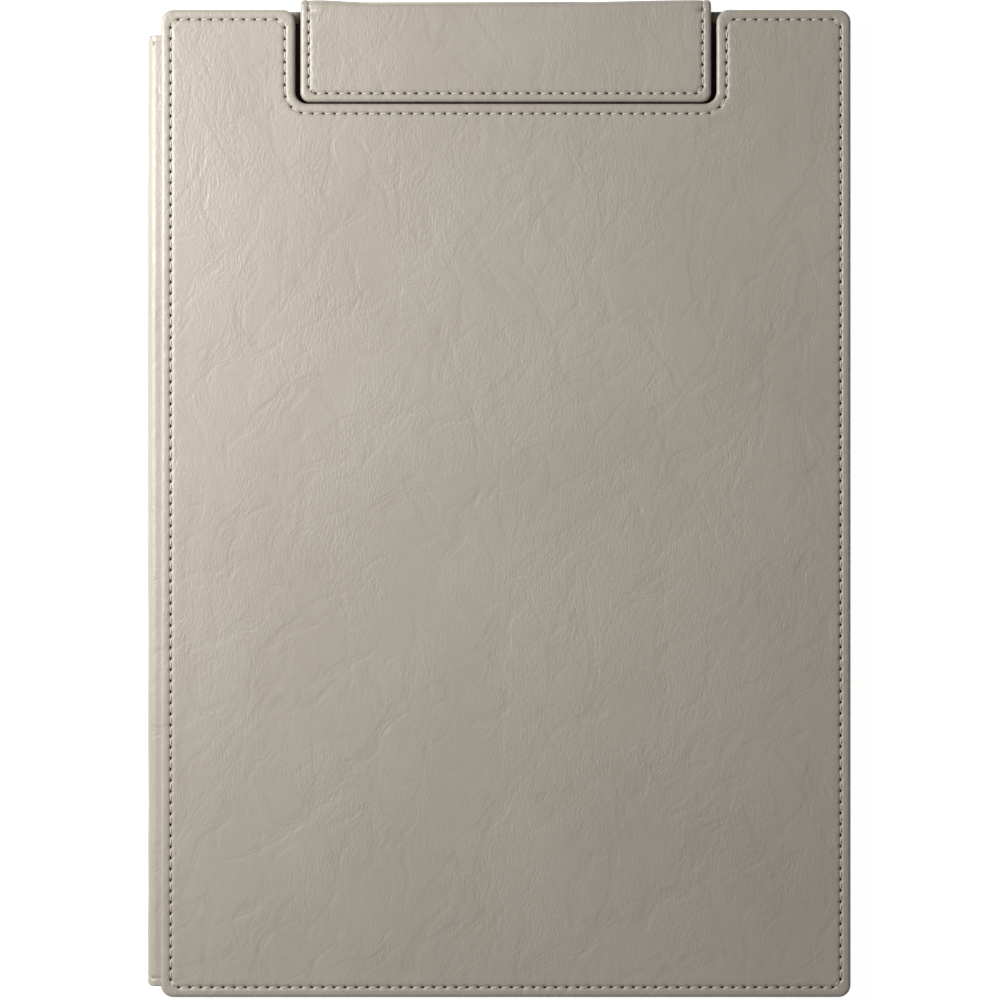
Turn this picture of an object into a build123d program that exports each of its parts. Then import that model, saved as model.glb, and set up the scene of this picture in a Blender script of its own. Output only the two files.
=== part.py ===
from build123d import *
import math
import os

# An A4 clipboard folder: two stitched panels on a soft spine strip, and a magnetic flap clip.
# It lies closed on its back panel. +Z is up, +Y points to the clip end, +X away from the spine.
# The origin is the middle of the back panel's outer face. All sizes are in millimetres.

# Panels
panel_w = 220.0          # across, spine side to free side
panel_l = 315.0          # along, clip end to foot
corner_r = 3.9           # outline corners
skin_t = 0.6             # leather-look skin
board_t = 2.0
panel_t = 3.2            # skin + board + lining
folder_t = 9.0           # closed folder, outer face to outer face
edge_r = 0.9             # softness of a turned edge where it meets the outer face
hem_bevel = 0.5          # and where it meets the inner face
hem_shown = 2.5          # turned hem that the lining leaves bare
hem_reach = 8.5          # how far the hem runs in, thinned, below the lining
hem_thin_t = 0.3

# Notch of the front cover
notch_w = 134.5
notch_d = 30.0
notch_r = 4.0            # both its inner and its outer corners
board_notch_r = 0.4      # the board is cut almost square there, and the gathered hem rounds it off

# Flap clip
flap_w = 131.0
flap_gap = 0.6           # between the flap's lower edge and the notch
flap_r = 3.0             # lower corners
flap_under_z = 3.5       # underside of the flap, just clear of the back lining
fold_out = 2.1           # the fold stands this far past the panels' top edge
fold_top_r = 2.0         # bend at the top of the fold, middle of the outer leather
fold_low_r = 1.3         # bend at the foot of the fold
flap_hem = 1.5           # turned hem that the flap's lining leaves bare
core_end = 2.0           # the flap's boards stop this far below the panels' top edge
stiffener_t = 1.8
magnet_d = 12.0
magnet_t = 2.0
magnet_count = 6
magnet_pitch = 20.0
magnet_y = -19.0         # magnet row, from the panels' top edge

# Keeper plate below the back lining
keeper_w = 120.0
keeper_l = 16.0
keeper_t = 0.8

# Spine strip
spine_out = 4.5          # bulge past the panels' side edge
spine_leather_t = 0.75   # each of its two leathers
spine_top_gap = 8.0      # the strip is shorter than the panels
spine_foot_gap = 3.4
spine_core_t = 0.3
spine_core_half_angle = 35.0
end_seam_inset = 2.6
end_seam_half_angle = 72.0

# Seams
seam_inset = 3.2
flap_seam_inset = 2.7
corner_stitch = 2.5      # legs of the slanted stitch across an outer corner
thread_w = 0.7
thread_sunk = 0.25       # depth of the furrow on an outer face
bobbin_sunk = 0.15       # depth of the furrow on a lining
bobbin_proud = 0.1

# Slip pocket on the cover's lining side
pocket_top = 35.0        # y of its mouth
pocket_t = 0.4
pocket_hem_l = 8.0
pocket_hem_seam = 6.0    # seam row below the mouth

# Worked out from the above
top = panel_l / 2
side = panel_w / 2
board_top = skin_t + board_t
stub_top = board_top + hem_thin_t
spine_stub_t = 2 * spine_leather_t
spine_stub_mid = stub_top - spine_stub_t / 2
spine_r = (folder_t - 2 * spine_stub_mid) / 2
spine_centre_x = -side - spine_out + spine_r + spine_leather_t
spine_y0 = -top + spine_foot_gap
spine_y1 = top - spine_top_gap
strap_t = 2 * skin_t
strap_mid = stub_top - strap_t / 2
flap_low_y = top - notch_d + flap_gap
flap_face = folder_t


def slab(plan, z0, z1):
    """Extrude a plan straight up from z0 to z1."""
    return Pos(0, 0, z0) * extrude(plan, z1 - z0)


def block(x0, x1, y0, y1, z0, z1):
    """An upright box between two corners."""
    centre = Pos((x0 + x1) / 2, (y0 + y1) / 2, (z0 + z1) / 2)
    return centre * Box(x1 - x0, y1 - y0, z1 - z0)


def corners_at(plan, x, y):
    """The vertices of a plan at (x, y) and at its mirror image (-x, y)."""
    return [v for v in plan.vertices() if abs(abs(v.X) - x) < 1e-4 and abs(v.Y - y) < 1e-4]


def softened(plan, corners, radius, leg):
    """A plan with its corners cut straight where a leg is given, and else rounded while a radius is left."""
    if leg > 0:
        return chamfer(corners, leg)
    return fillet(corners, radius) if radius > 0 else plan


def panel_plan(inset, notched, leg=0.0, inner_r=notch_r):
    """Outline of a panel drawn in by inset: outer corners tighten to sharp, the notch's inner ones open up."""
    plan = Rectangle(panel_w - 2 * inset, panel_l - 2 * inset)
    plan = softened(plan, plan.vertices(), corner_r - inset, leg)
    if not notched:
        return plan
    half = notch_w / 2 + inset
    floor = top - notch_d - inset
    void = Pos(0, floor + notch_d) * Rectangle(2 * half, 2 * notch_d)
    void = fillet(corners_at(void, half, floor), inner_r + inset)
    plan = plan - void
    return softened(plan, corners_at(plan, half, top - inset), notch_r - inset, leg)


def furrow_sides(inset):
    """Inset and corner leg of a furrow's outer and inner side. One slanted stitch crosses each outer corner."""
    half = thread_w / 2
    leg_change = (2 - math.sqrt(2)) * half
    return (inset - half, corner_stitch + leg_change), (inset + half, corner_stitch - leg_change)


def seam_ring(notched):
    """The furrow of the perimeter seam, as a ring in plan."""
    (outer, outer_leg), (inner, inner_leg) = furrow_sides(seam_inset)
    return panel_plan(outer, notched, outer_leg) - panel_plan(inner, notched, inner_leg)


def rim_edges(blank, z):
    """The edges of a blank that lie at height z."""
    return [e for e in blank.edges() if abs(e.center().Z - z) < 1e-4 and e.bounding_box().size.Z < 1e-4]


def panel_layers(notched):
    """Skin, board and lining of one panel, outer face down at z = 0, slotted for the spine strip."""
    blank = slab(panel_plan(0, notched), 0, panel_t)
    blank = fillet(rim_edges(blank, 0), edge_r)
    blank = chamfer(rim_edges(blank, panel_t), hem_bevel)
    board = slab(panel_plan(skin_t, notched, inner_r=board_notch_r - skin_t), skin_t, board_top)
    lining = slab(panel_plan(hem_reach, notched), board_top, stub_top)
    lining += slab(panel_plan(hem_shown, notched), stub_top, panel_t)
    skin = blank - board - lining
    slot_z = stub_top - spine_stub_t
    slot = block(-side - 1, -side + hem_reach, spine_y0, spine_y1, slot_z, panel_t + 1)
    return skin - slot, board - slot, lining


def closed_over(part):
    """Turn a panel piece face up, as it lies on top of the closed folder."""
    return Pos(0, 0, folder_t) * mirror(part, about=Plane.XY)


def ribbon(points, radii, thickness):
    """A flat strip's section: a path of straight runs and round bends, given a thickness."""
    return trace(FilletPolyline(*points, radius=radii), thickness)


def spine_layer(r_in, r_out):
    """One leather of the spine in section: a half round bulge with a flat stub at each end."""
    centre = Pos(spine_centre_x, folder_t / 2)
    bulge = centre * (Circle(r_out) - Circle(r_in))
    right = Pos(spine_centre_x + folder_t, folder_t / 2) * Rectangle(2 * folder_t, 4 * folder_t)
    section = bulge - right
    stub_l = -side + hem_reach - spine_centre_x
    stub = Pos(spine_centre_x + stub_l / 2, (r_in + r_out) / 2) * Rectangle(stub_l, r_out - r_in)
    upper = Pos(0, folder_t / 2) * stub
    lower = Pos(0, folder_t / 2) * mirror(stub, about=Plane.XZ)
    return section + upper + lower


def sector(r_in, r_out, half_angle):
    """A piece of the bulge's ring, half_angle either side of its crest."""
    crest = 180.0
    arc_in = CenterArc((0, 0), r_in, crest - half_angle, 2 * half_angle)
    arc_out = CenterArc((0, 0), r_out, crest - half_angle, 2 * half_angle)
    ends = [Line(arc_in @ t, arc_out @ t) for t in (0, 1)]
    return Pos(spine_centre_x, folder_t / 2) * make_face([arc_in, arc_out, *ends])


def along_y(section, y0, y1):
    """Extrude a section drawn in x and z from y0 to y1."""
    placed = Plane((0, y0, 0), x_dir=(1, 0, 0), z_dir=(0, -1, 0)) * section
    return extrude(placed, amount=y1 - y0, dir=(0, 1, 0))


def across_x(section, width):
    """Extrude a section drawn in y and z to a width centred on x = 0."""
    placed = Plane((-width / 2, 0, 0), x_dir=(0, 1, 0), z_dir=(1, 0, 0)) * section
    return extrude(placed, amount=width, dir=(1, 0, 0))


def flap_plan(inset, y_end, leg=0.0):
    """Outline of the flap drawn in by inset, square at its upper end y_end."""
    low = flap_low_y + inset
    plan = Pos(0, (low + y_end) / 2) * Rectangle(flap_w - 2 * inset, y_end - low)
    return softened(plan, corners_at(plan, flap_w / 2 - inset, low), flap_r - inset, leg)


def flap_seam(y_end):
    """The furrow of the flap's seam in plan: a U, open at the fold."""
    (outer, outer_leg), (inner, inner_leg) = furrow_sides(flap_seam_inset)
    return flap_plan(outer, y_end, outer_leg) - flap_plan(inner, y_end + 1, inner_leg)


def clip_skin(furrow):
    """Outer leather: the face with its turned edges, the fold, and the tail in the back panel."""
    end_y = top - core_end
    path = [(top - hem_reach, strap_mid - skin_t / 2), (top + fold_out - skin_t / 2, strap_mid - skin_t / 2),
            (top + fold_out - skin_t / 2, flap_face - skin_t / 2), (end_y, flap_face - skin_t / 2)]
    strap = across_x(ribbon(path, [fold_low_r, fold_top_r], skin_t), flap_w)
    blank = slab(flap_plan(0, end_y), flap_under_z, flap_face)
    blank = fillet([e for e in rim_edges(blank, flap_face) if e.center().Y < end_y - 1e-3], edge_r)
    core = slab(flap_plan(skin_t, end_y + 1), flap_under_z + skin_t, flap_face - skin_t)
    under = slab(flap_plan(flap_hem, end_y + 1), flap_under_z - 1, flap_under_z + skin_t)
    return blank - core - under - furrow + strap


def clip_lining():
    """Inner leather: the underside, up the ends of the boards, over and down inside the fold."""
    half = skin_t / 2
    inner_y = top + fold_out - skin_t - half
    back_y = top - core_end + half
    path = [(top - hem_reach, strap_mid + half), (inner_y, strap_mid + half),
            (inner_y, flap_face - skin_t - half), (back_y, flap_face - skin_t - half),
            (back_y, flap_under_z + half), (top - 2 * core_end - 2, flap_under_z + half)]
    turn_r = (inner_y - back_y) / 2 - 0.05
    strap = across_x(ribbon(path, [0.8, turn_r, turn_r, half + 0.01], skin_t), flap_w - 2 * flap_hem)
    under = slab(flap_plan(flap_hem, top - 2 * core_end - 2), flap_under_z, flap_under_z + skin_t)
    return strap + under


def magnets():
    """The discs, in a row across the flap."""
    z0 = flap_under_z + skin_t
    row = GridLocations(magnet_pitch, 1, magnet_count, 1)
    return [Pos(0, top + magnet_y, z0 + magnet_t / 2) * place * Cylinder(magnet_d / 2, magnet_t) for place in row]


def keep(name, part):
    """Write one piece to its own file."""
    solids = part.solids() if hasattr(part, "solids") else [s for p in part for s in p.solids()]
    shape = solids[0] if len(solids) == 1 else Compound(children=list(solids))
    export_step(shape, f"parts/{name}.step")


os.makedirs("parts", exist_ok=True)

# Back panel: layers, clip tail slot, keeper plate and seam
back_skin, back_board, back_lining = panel_layers(False)
tail_slot = block(-flap_w / 2, flap_w / 2, top - hem_reach, top + 1, stub_top - strap_t, panel_t + 1)
back_skin -= tail_slot
back_board -= tail_slot
keeper = block(-keeper_w / 2, keeper_w / 2, top + magnet_y - keeper_l / 2, top + magnet_y + keeper_l / 2,
               board_top - keeper_t, board_top)
back_board -= keeper
back_furrow = seam_ring(False)
back_needle = slab(back_furrow, 0, thread_sunk)
back_bobbin = slab(back_furrow, panel_t - bobbin_sunk, panel_t + bobbin_proud)
back_skin -= back_needle
back_lining -= back_bobbin
keep("back_skin", back_skin)
keep("back_board", back_board)
keep("back_lining", back_lining)
keep("keeper_plate", keeper)
keep("back_seam_thread", [back_needle, back_bobbin])

# Front cover: layers, pocket and seams, made face down and turned over
cover_skin, cover_board, cover_lining = panel_layers(True)
foot_half = block(-side, side, -top, pocket_top, -1, 2 * panel_t)
pocket_plan = panel_plan(hem_shown, True)
pocket = slab(pocket_plan, panel_t, panel_t + pocket_t) & foot_half
hem_plan = Pos(0, pocket_top - pocket_hem_l / 2) * Rectangle(panel_w - 2 * hem_shown, pocket_hem_l)
pocket += slab(hem_plan, panel_t + pocket_t, panel_t + 2 * pocket_t)
hem_row = Pos(0, pocket_top - pocket_hem_seam) * Rectangle(panel_w - 4 * seam_inset, thread_w)
hem_thread = slab(hem_row, panel_t + 2 * pocket_t - bobbin_sunk, panel_t + 2 * pocket_t + bobbin_proud)
pocket -= hem_thread
cover_furrow = seam_ring(True)
cover_needle = slab(cover_furrow, 0, thread_sunk)
over_lining = slab(cover_furrow, panel_t - bobbin_sunk, panel_t + bobbin_proud) - foot_half
in_pocket_part = block(-side, side, -top, pocket_top - pocket_hem_l, -1, 2 * panel_t)
over_pocket_z = panel_t + pocket_t
over_pocket = slab(cover_furrow, over_pocket_z - bobbin_sunk, over_pocket_z + bobbin_proud) & in_pocket_part
cover_skin -= cover_needle
cover_lining -= over_lining
pocket -= over_pocket
keep("cover_skin", closed_over(cover_skin))
keep("cover_board", closed_over(cover_board))
keep("cover_lining", closed_over(cover_lining))
keep("cover_pocket", closed_over(pocket))
keep("pocket_seam_thread", closed_over(hem_thread))
keep("cover_seam_thread", [closed_over(t) for t in (cover_needle, over_lining, over_pocket)])

# Spine: two leathers with a stiffener between them at the crest, and a short seam across each end
inner_r = spine_r - spine_leather_t
outer_r = spine_r + spine_leather_t
core_section = sector(spine_r - spine_core_t / 2, spine_r + spine_core_t / 2, spine_core_half_angle)
spine_core = along_y(core_section, spine_y0, spine_y1)
seam_section = sector(outer_r - thread_sunk, outer_r, end_seam_half_angle)
end_rows = [along_y(seam_section, y - thread_w / 2, y + thread_w / 2)
            for y in (spine_y0 + end_seam_inset, spine_y1 - end_seam_inset)]
spine_strip = along_y(spine_layer(spine_r, outer_r), spine_y0, spine_y1) - spine_core
for row in end_rows:
    spine_strip -= row
keep("spine_strip", spine_strip)
keep("spine_lining", along_y(spine_layer(inner_r, spine_r), spine_y0, spine_y1) - spine_core)
keep("spine_core", spine_core)
keep("spine_end_threads", end_rows)

# Clip: leathers, boards, magnets and seam
core_y = top - core_end
carrier_z = flap_under_z + skin_t
stiffener_z = flap_face - skin_t - stiffener_t
discs = magnets()
carrier = slab(flap_plan(skin_t, core_y), carrier_z, stiffener_z)
for disc in discs:
    carrier -= disc
needle_row = slab(flap_seam(core_y), flap_face - thread_sunk, flap_face)
bobbin_row = slab(flap_seam(core_y - 2 * core_end), flap_under_z - bobbin_proud, flap_under_z + bobbin_sunk)
keep("clip_skin", clip_skin(needle_row))
keep("clip_lining", clip_lining() - bobbin_row)
keep("clip_stiffener", slab(flap_plan(skin_t, core_y), stiffener_z, flap_face - skin_t))
keep("magnet_carrier", carrier)
keep("clip_magnets", discs)
keep("clip_seam_thread", [needle_row, bobbin_row])
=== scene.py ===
# %% [markdown]
# # A leather-look clipboard folder
# The folder is two stiff panels in a sewn skin, a soft spine strip and a flap that clips paper with magnets.
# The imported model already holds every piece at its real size. In this lesson the hard inner pieces stay as they
# are and only get a finish, and each skin, lining and thread is modelled anew, with turned edges and real stitches.

# %% Load the frame
import math

import bmesh
import bpy
import numpy as np
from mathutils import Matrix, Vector
from mathutils.geometry import delaunay_2d_cdt


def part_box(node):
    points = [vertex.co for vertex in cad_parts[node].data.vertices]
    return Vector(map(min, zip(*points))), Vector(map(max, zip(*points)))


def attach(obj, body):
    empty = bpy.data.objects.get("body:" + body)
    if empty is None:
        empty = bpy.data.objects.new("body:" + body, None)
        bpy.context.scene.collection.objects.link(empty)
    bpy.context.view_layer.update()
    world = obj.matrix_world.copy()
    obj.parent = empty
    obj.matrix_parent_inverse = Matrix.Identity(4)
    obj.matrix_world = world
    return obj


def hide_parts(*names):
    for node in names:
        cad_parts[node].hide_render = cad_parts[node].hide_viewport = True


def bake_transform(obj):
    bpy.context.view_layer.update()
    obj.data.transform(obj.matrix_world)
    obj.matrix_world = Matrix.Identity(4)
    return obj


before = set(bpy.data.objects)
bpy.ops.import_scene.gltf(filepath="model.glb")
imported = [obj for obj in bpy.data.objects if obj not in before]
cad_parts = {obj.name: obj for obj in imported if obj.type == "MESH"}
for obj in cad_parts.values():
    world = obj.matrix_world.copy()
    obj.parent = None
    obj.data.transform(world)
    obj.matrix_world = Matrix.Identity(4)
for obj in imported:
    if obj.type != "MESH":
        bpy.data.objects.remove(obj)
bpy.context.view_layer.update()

# %% [markdown]
# ## Sizes
# Everything is in metres. What the frame knows is read from it, so a change of the model carries over. The rest
# are sewing sizes: how far a seam runs from an edge, how long a stitch is, how round a turned edge is.

# %% Sizes from the frame, and sewing sizes
MM = 0.001
back_low, back_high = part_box("back_skin")
cover_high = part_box("cover_skin")[1]
flap_low, flap_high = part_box("clip_skin")
strip_low, strip_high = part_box("spine_strip")
core_low, core_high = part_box("clip_stiffener")

TOP = back_high.y                            # the clip end of both panels
HALF_W = back_high.x
PANEL_T = back_high.z - back_low.z
FACE_Z = cover_high.z                        # outer face of the closed cover
CORNER_R = 3.9 * MM
NOTCH_HALF_W = 67.25 * MM
NOTCH_DEPTH = 30.0 * MM
NOTCH_R = 4.0 * MM
SKIN_T = 0.6 * MM
HEM = 2.5 * MM                               # turned edge that the lining leaves bare

PITCH = 3.55 * MM                            # length of a stitch
ALONG = np.array([0, 0.26, 0.40, 0.5, 0.60, 0.74])   # mesh points along a stitch, closer at its hole at 0.5
SEAM_INSET = 3.2 * MM
THREAD_R = 0.20 * MM
SLIT_TURN = math.radians(-12)                # how far a needle slit leans from its seam
EDGE_R = 1.0 * MM                            # turned edge, face side
HEM_R = 0.6 * MM                             # turned edge, lining side
FILL_FROM = 3.85 * MM                        # rings stop here and the flat fill takes over
TUCK = 6.0 * MM                              # how far the spine and the clip's tail reach into the panels
print("panel", round(2 * HALF_W / MM, 1), "x", round(2 * TOP / MM, 1), "x", round(PANEL_T / MM, 2), "mm")

# %% [markdown]
# ## From arrays to a mesh
# A mesh is a list of points and a list of faces. Every piece below is worked out as whole numpy arrays, and two
# small helpers turn grids of points into quads and hand them to Blender. Closed shells get their normals
# recalculated once, so the faces point outwards whichever way the grid was wound.

# %% Mesh helpers
def grid_faces(rows, cols, first=0, wrap_rows=False, wrap_cols=False):
    """Quads of a rows x cols grid. Point (i, j) is number first + i * cols + j, and a wrapped side joins its
    start."""
    i, j = np.meshgrid(np.arange(rows - (not wrap_rows)), np.arange(cols - (not wrap_cols)), indexing="ij")
    i, j = i.ravel(), j.ravel()
    i2, j2 = (i + 1) % rows, (j + 1) % cols
    return first + np.stack([i * cols + j, i * cols + j2, i2 * cols + j2, i2 * cols + j], axis=1)


def new_piece(name, points, faces, recalculate=True, attributes=None, uv=None, flat=()):
    """A mesh object from an (n, 3) array and a list of face index arrays, with optional point attributes and UVs.
    Blocks of faces whose numbers are in flat are shaded flat, so that a cut end keeps its crisp edge."""
    mesh = bpy.data.meshes.new(name)
    rows = [list(map(int, face)) for block in faces for face in block]
    mesh.from_pydata(np.asarray(points, float).tolist(), [], rows)
    for key, values in (attributes or {}).items():
        layer = mesh.attributes.new(key, "FLOAT", "POINT")
        layer.data.foreach_set("value", np.asarray(values, np.float32).ravel())
    if uv is not None:
        corner_point = np.zeros(len(mesh.loops), np.int32)
        mesh.loops.foreach_get("vertex_index", corner_point)
        layer = mesh.uv_layers.new(name="UVMap")
        layer.data.foreach_set("uv", np.asarray(uv, np.float32)[corner_point].ravel())
    if recalculate:
        editable = bmesh.new()
        editable.from_mesh(mesh)
        bmesh.ops.recalc_face_normals(editable, faces=editable.faces)
        editable.to_mesh(mesh)
        editable.free()
    numbers = range(len(faces))
    smooth = np.concatenate([np.full(len(faces[i]), i - len(faces) not in flat) for i in numbers])
    mesh.polygons.foreach_set("use_smooth", smooth)
    piece = bpy.data.objects.new(name, mesh)
    bpy.context.scene.collection.objects.link(piece)
    return piece


def smoothstep(x, low, high):
    """0 below low, 1 above high, and 3t^2 - 2t^3 between them."""
    t = np.clip((np.asarray(x, float) - low) / (high - low), 0, 1)
    return t * t * (3 - 2 * t)


def bell(x, width):
    """exp(-(x / width)^2): 1 at x = 0, falling off over width."""
    return np.exp(-(np.asarray(x, float) / width) ** 2)


# %% [markdown]
# ## Walking the outline
# A sewn panel has one thing that runs all the way round: its edge, with the turned leather, the seam and every
# needle hole. So the outline is walked once, stitch by stitch, and each point remembers which way is out and how
# far along its stitch it is. Any ring at a given distance from the edge is then the outline moved inwards. Corners
# are quarter circles: an outer corner gets tighter as it moves in, and the notch's inner corners get wider.

# %% The outline of a panel
def stitch_steps(count):
    """Places along count stitches in a row, in stitches: the same uneven steps in each."""
    return (np.arange(count)[:, None] + ALONG[None]).ravel()


def quarter_turn(corner, ahead, onward, radius, seam_inset):
    """Points, outward normals and stitches passed on a rounded corner. An outer corner holds no needle hole, so
    one slanted stitch crosses it; an inner one has as many stitches as fit the seam's arc."""
    turn = ahead[0] * onward[1] - ahead[1] * onward[0]
    inner_side = np.array([-ahead[1], ahead[0]]) * turn
    centre = corner - ahead * radius + inner_side * radius
    stitches = 0 if turn > 0 else max(1, round((radius + seam_inset) * math.pi / 2 / PITCH))
    share = stitch_steps(stitches) / stitches if stitches else np.arange(12) / 12
    start = math.atan2(-ahead[0], ahead[1])
    angle = start + turn * math.pi / 2 * share
    normal = np.stack([np.cos(angle), np.sin(angle)], axis=1)
    return centre + turn * radius * normal, normal, stitches * share


def walk(corners, radii, seam_inset, closed=True):
    """Walk straight runs and quarter turns anticlockwise, and keep where the needle goes in."""
    corners = np.array(corners, float)
    count = len(corners)
    ahead = [(corners[i] - corners[i - 1]) / np.linalg.norm(corners[i] - corners[i - 1]) for i in range(count)]
    turning = range(count) if closed else range(1, count - 1)
    pieces = []

    def run(start, end, direction, last=False):
        stitches = max(1, round(np.linalg.norm(end - start) / PITCH))
        steps = np.append(stitch_steps(stitches), [stitches] * last)
        outward = np.tile([direction[1], -direction[0]], (len(steps), 1))
        pieces.append((start + (end - start) * steps[:, None] / stitches, outward, steps))

    if not closed:
        run(corners[0], corners[1] - ahead[1] * radii[1], ahead[1])
    for i in turning:
        after = (i + 1) % count
        pieces.append(quarter_turn(corners[i], ahead[i], ahead[after], radii[i], seam_inset))
        last = not closed and i == count - 2
        end = corners[after] - (0 if last else ahead[after] * radii[after])
        run(corners[i] + ahead[after] * radii[i], end, ahead[after], last)
    points = np.concatenate([p for p, _, _ in pieces])
    normal = np.concatenate([n for _, n, _ in pieces])
    at_hole = np.isclose(np.concatenate([s for _, _, s in pieces]) % 1.0, 0.5)
    holes = (points - seam_inset * normal)[at_hole]
    return {"xy": points, "out": normal, "holes": holes, "closed": closed, "inset": seam_inset}


def panel_corners(notched):
    """Corner points and radii of a panel, anticlockwise from the foot on the spine side."""
    points = [(-HALF_W, -TOP), (HALF_W, -TOP), (HALF_W, TOP)]
    radii = [CORNER_R] * 3
    if notched:
        floor = TOP - NOTCH_DEPTH
        points += [(NOTCH_HALF_W, TOP), (NOTCH_HALF_W, floor), (-NOTCH_HALF_W, floor), (-NOTCH_HALF_W, TOP)]
        radii += [NOTCH_R] * 4
    return points + [(-HALF_W, TOP)], radii + [CORNER_R]


cover_edge = walk(*panel_corners(True), SEAM_INSET)
back_edge = walk(*panel_corners(False), SEAM_INSET)
print("stitches round the cover", len(cover_edge["holes"]), "and the back", len(back_edge["holes"]))

# %% [markdown]
# ## The face of sewn leather
# Leather pulled down by a seam is never flat. It dips in a furrow under the thread, sinks into a pit at each
# needle hole, and swells a little on both sides and between the holes. These are sums of bell curves of the
# distance from the seam, which keeps them smooth. Far from the seam, slow waves a tenth of a millimetre high
# stand for skin that is not quite even over its board, and they are what bends the highlights.

# %% Height of the leather
def slow_waves(x, y):
    """A few long sine waves of different directions, about 0.1 mm high in all."""
    total = 0.55 * np.sin(x / 0.0210 + 1.3 * np.sin(y / 0.047) + 0.4)
    total += 0.50 * np.sin(y / 0.0330 + 1.1 * np.sin(x / 0.039) + 2.1)
    total += 0.30 * np.sin((0.8 * x + 0.6 * y) / 0.0125 + 0.9)
    total += 0.22 * np.sin((0.9 * x - 0.5 * y) / 0.0078 + 1.9 + np.sin(y / 0.021))
    return 0.055 * MM * total


def nearest(points, line):
    """Distance from each point to the nearest point of line, worked out in blocks to save memory."""
    blocks = np.array_split(points, max(1, len(points) // 1500))
    return np.concatenate([np.sqrt(((b[:, None] - line[None]) ** 2).sum(2)).min(1) for b in blocks])


def seam_distance(points, edge):
    """Distance to the nearest stitch, taken as the straight line from hole to hole, and to the nearest hole. A
    needle cuts a slanted slit, so the hole's distance counts less along the slit than across it."""
    holes = edge["holes"]
    chord = np.roll(holes, -1, axis=0) - holes
    along = chord + np.roll(chord, 1, axis=0)
    start = holes
    if not edge["closed"]:
        start, chord, along[0], along[-1] = holes[:-1], chord[:-1], chord[0], chord[-2]
    along /= np.linalg.norm(along, axis=1, keepdims=True)
    slit = along @ np.array([[math.cos(SLIT_TURN), math.sin(SLIT_TURN)], [-math.sin(SLIT_TURN), math.cos(SLIT_TURN)]])
    to_stitch, to_hole = [], []
    for block in np.array_split(points, max(1, len(points) // 1500)):
        from_start = block[:, None] - start[None]
        share = np.clip((from_start * chord).sum(2) / (chord ** 2).sum(1), 0, 1)
        gap = from_start - share[:, :, None] * chord
        to_stitch.append(np.sqrt((gap ** 2).sum(2)).min(1))
        closest = ((block[:, None] - holes[None]) ** 2).sum(2).argmin(1)
        offset, way = block - holes[closest], slit[closest]
        lengthwise = (offset * way).sum(1)
        crosswise = offset[:, 0] * way[:, 1] - offset[:, 1] * way[:, 0]
        to_hole.append(np.hypot(lengthwise / 1.55, crosswise / 0.85))
    return np.concatenate(to_stitch), np.concatenate(to_hole)


def sewn_face(points, depth, edge, waves=1.0):
    """Height and hole mark of leather at points that lie depth inside an edge. The height is a pillow between edge
    and seam, a shoulder inside the seam, the furrow and the pits, and the slow waves further in."""
    to_stitch, to_hole = seam_distance(points, edge)
    seam = edge["inset"]
    pillow = 0.06 * MM * np.sin(np.pi * np.clip(depth / seam, 0, 1))
    shoulder = 0.05 * MM * bell(depth - seam - 1.3 * MM, 0.9 * MM) * (1 - 0.5 * bell(to_hole, 1.1 * MM))
    furrow = 0.20 * MM * bell(to_stitch, 0.42 * MM)
    pit = 0.60 * MM * bell(to_hole, 0.42 * MM)
    far = waves * slow_waves(points[:, 0], points[:, 1]) * smoothstep(depth, 3 * MM, 18 * MM)
    over_edge = smoothstep(depth, 0.5 * EDGE_R, 1.6 * EDGE_R)
    # The second value marks the needle holes, which the leather's finish paints near black as painted shade.
    return (pillow + shoulder - furrow - pit + far) * over_edge, bell(to_hole, 0.44 * MM) * over_edge


print("slow waves at the middle", round(float(slow_waves(0.0, 0.0)) / MM, 3), "mm")


# %% [markdown]
# ## Filling the middle
# The rings stop just inside the seam. A ring cannot go on inwards for ever, because at a corner it would fold
# over itself, so the middle is filled with triangles instead: rows of points near the seam, then an even grid,
# joined up by a Delaunay triangulation that respects the ring as its border.

# %% Triangles inside a ring
def fill_inside(border, edge, spacing, row_depths=(), fine=0):
    """Points and triangles that fill the polygon border: rows at the given depths, a grid at spacing, and where
    a stitch cuts a corner short, so that its furrow leaves the rings, a patch of points fine apart."""
    line = edge["xy"]
    low, high = border.min(0) + spacing / 2, border.max(0) - spacing / 2
    steps = np.maximum(2, np.round((high - low) / spacing).astype(int))
    gx, gy = np.meshgrid(np.linspace(low[0], high[0], steps[0]), np.linspace(low[1], high[1], steps[1]))
    inner = np.stack([gx.ravel(), gy.ravel()], axis=1)
    clear = max([FILL_FROM, *row_depths]) + 0.6 * spacing
    inner = inner[nearest(inner, line) > clear]
    kept = [inner]
    for step, depth in enumerate(row_depths, 2):
        ring = (line - depth * edge["out"])[::step]
        kept.append(ring[np.abs(nearest(ring, line) - depth) < 0.08 * MM])
    if fine:
        middle = (edge["holes"] + np.roll(edge["holes"], -1, axis=0))[:None if edge["closed"] else -1] / 2
        off_ring = middle[nearest(middle, line) > edge["inset"] + 0.6 * MM]
        patch = np.arange(-2.4 * MM, 2.4 * MM, fine)
        patch = np.stack(np.meshgrid(patch, patch), axis=2).reshape(1, -1, 2)
        patch = (off_ring[:, None] + patch).reshape(-1, 2)
        patch = patch[nearest(patch, line) > FILL_FROM + 0.5 * fine]
        kept = [k[nearest(k, off_ring) > 3.2 * MM] if len(off_ring) else k for k in kept] + [patch]
    everything = np.concatenate([border] + kept)
    loop = list(range(len(border)))
    result = delaunay_2d_cdt([Vector(p) for p in everything.tolist()], [], [loop], 1, 1e-7)
    source = np.array([origin[0] if origin else -1 for origin in result[3]])
    triangles = source[np.array(result[2], int)]
    return everything, triangles[(triangles >= 0).all(1)]


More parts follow.
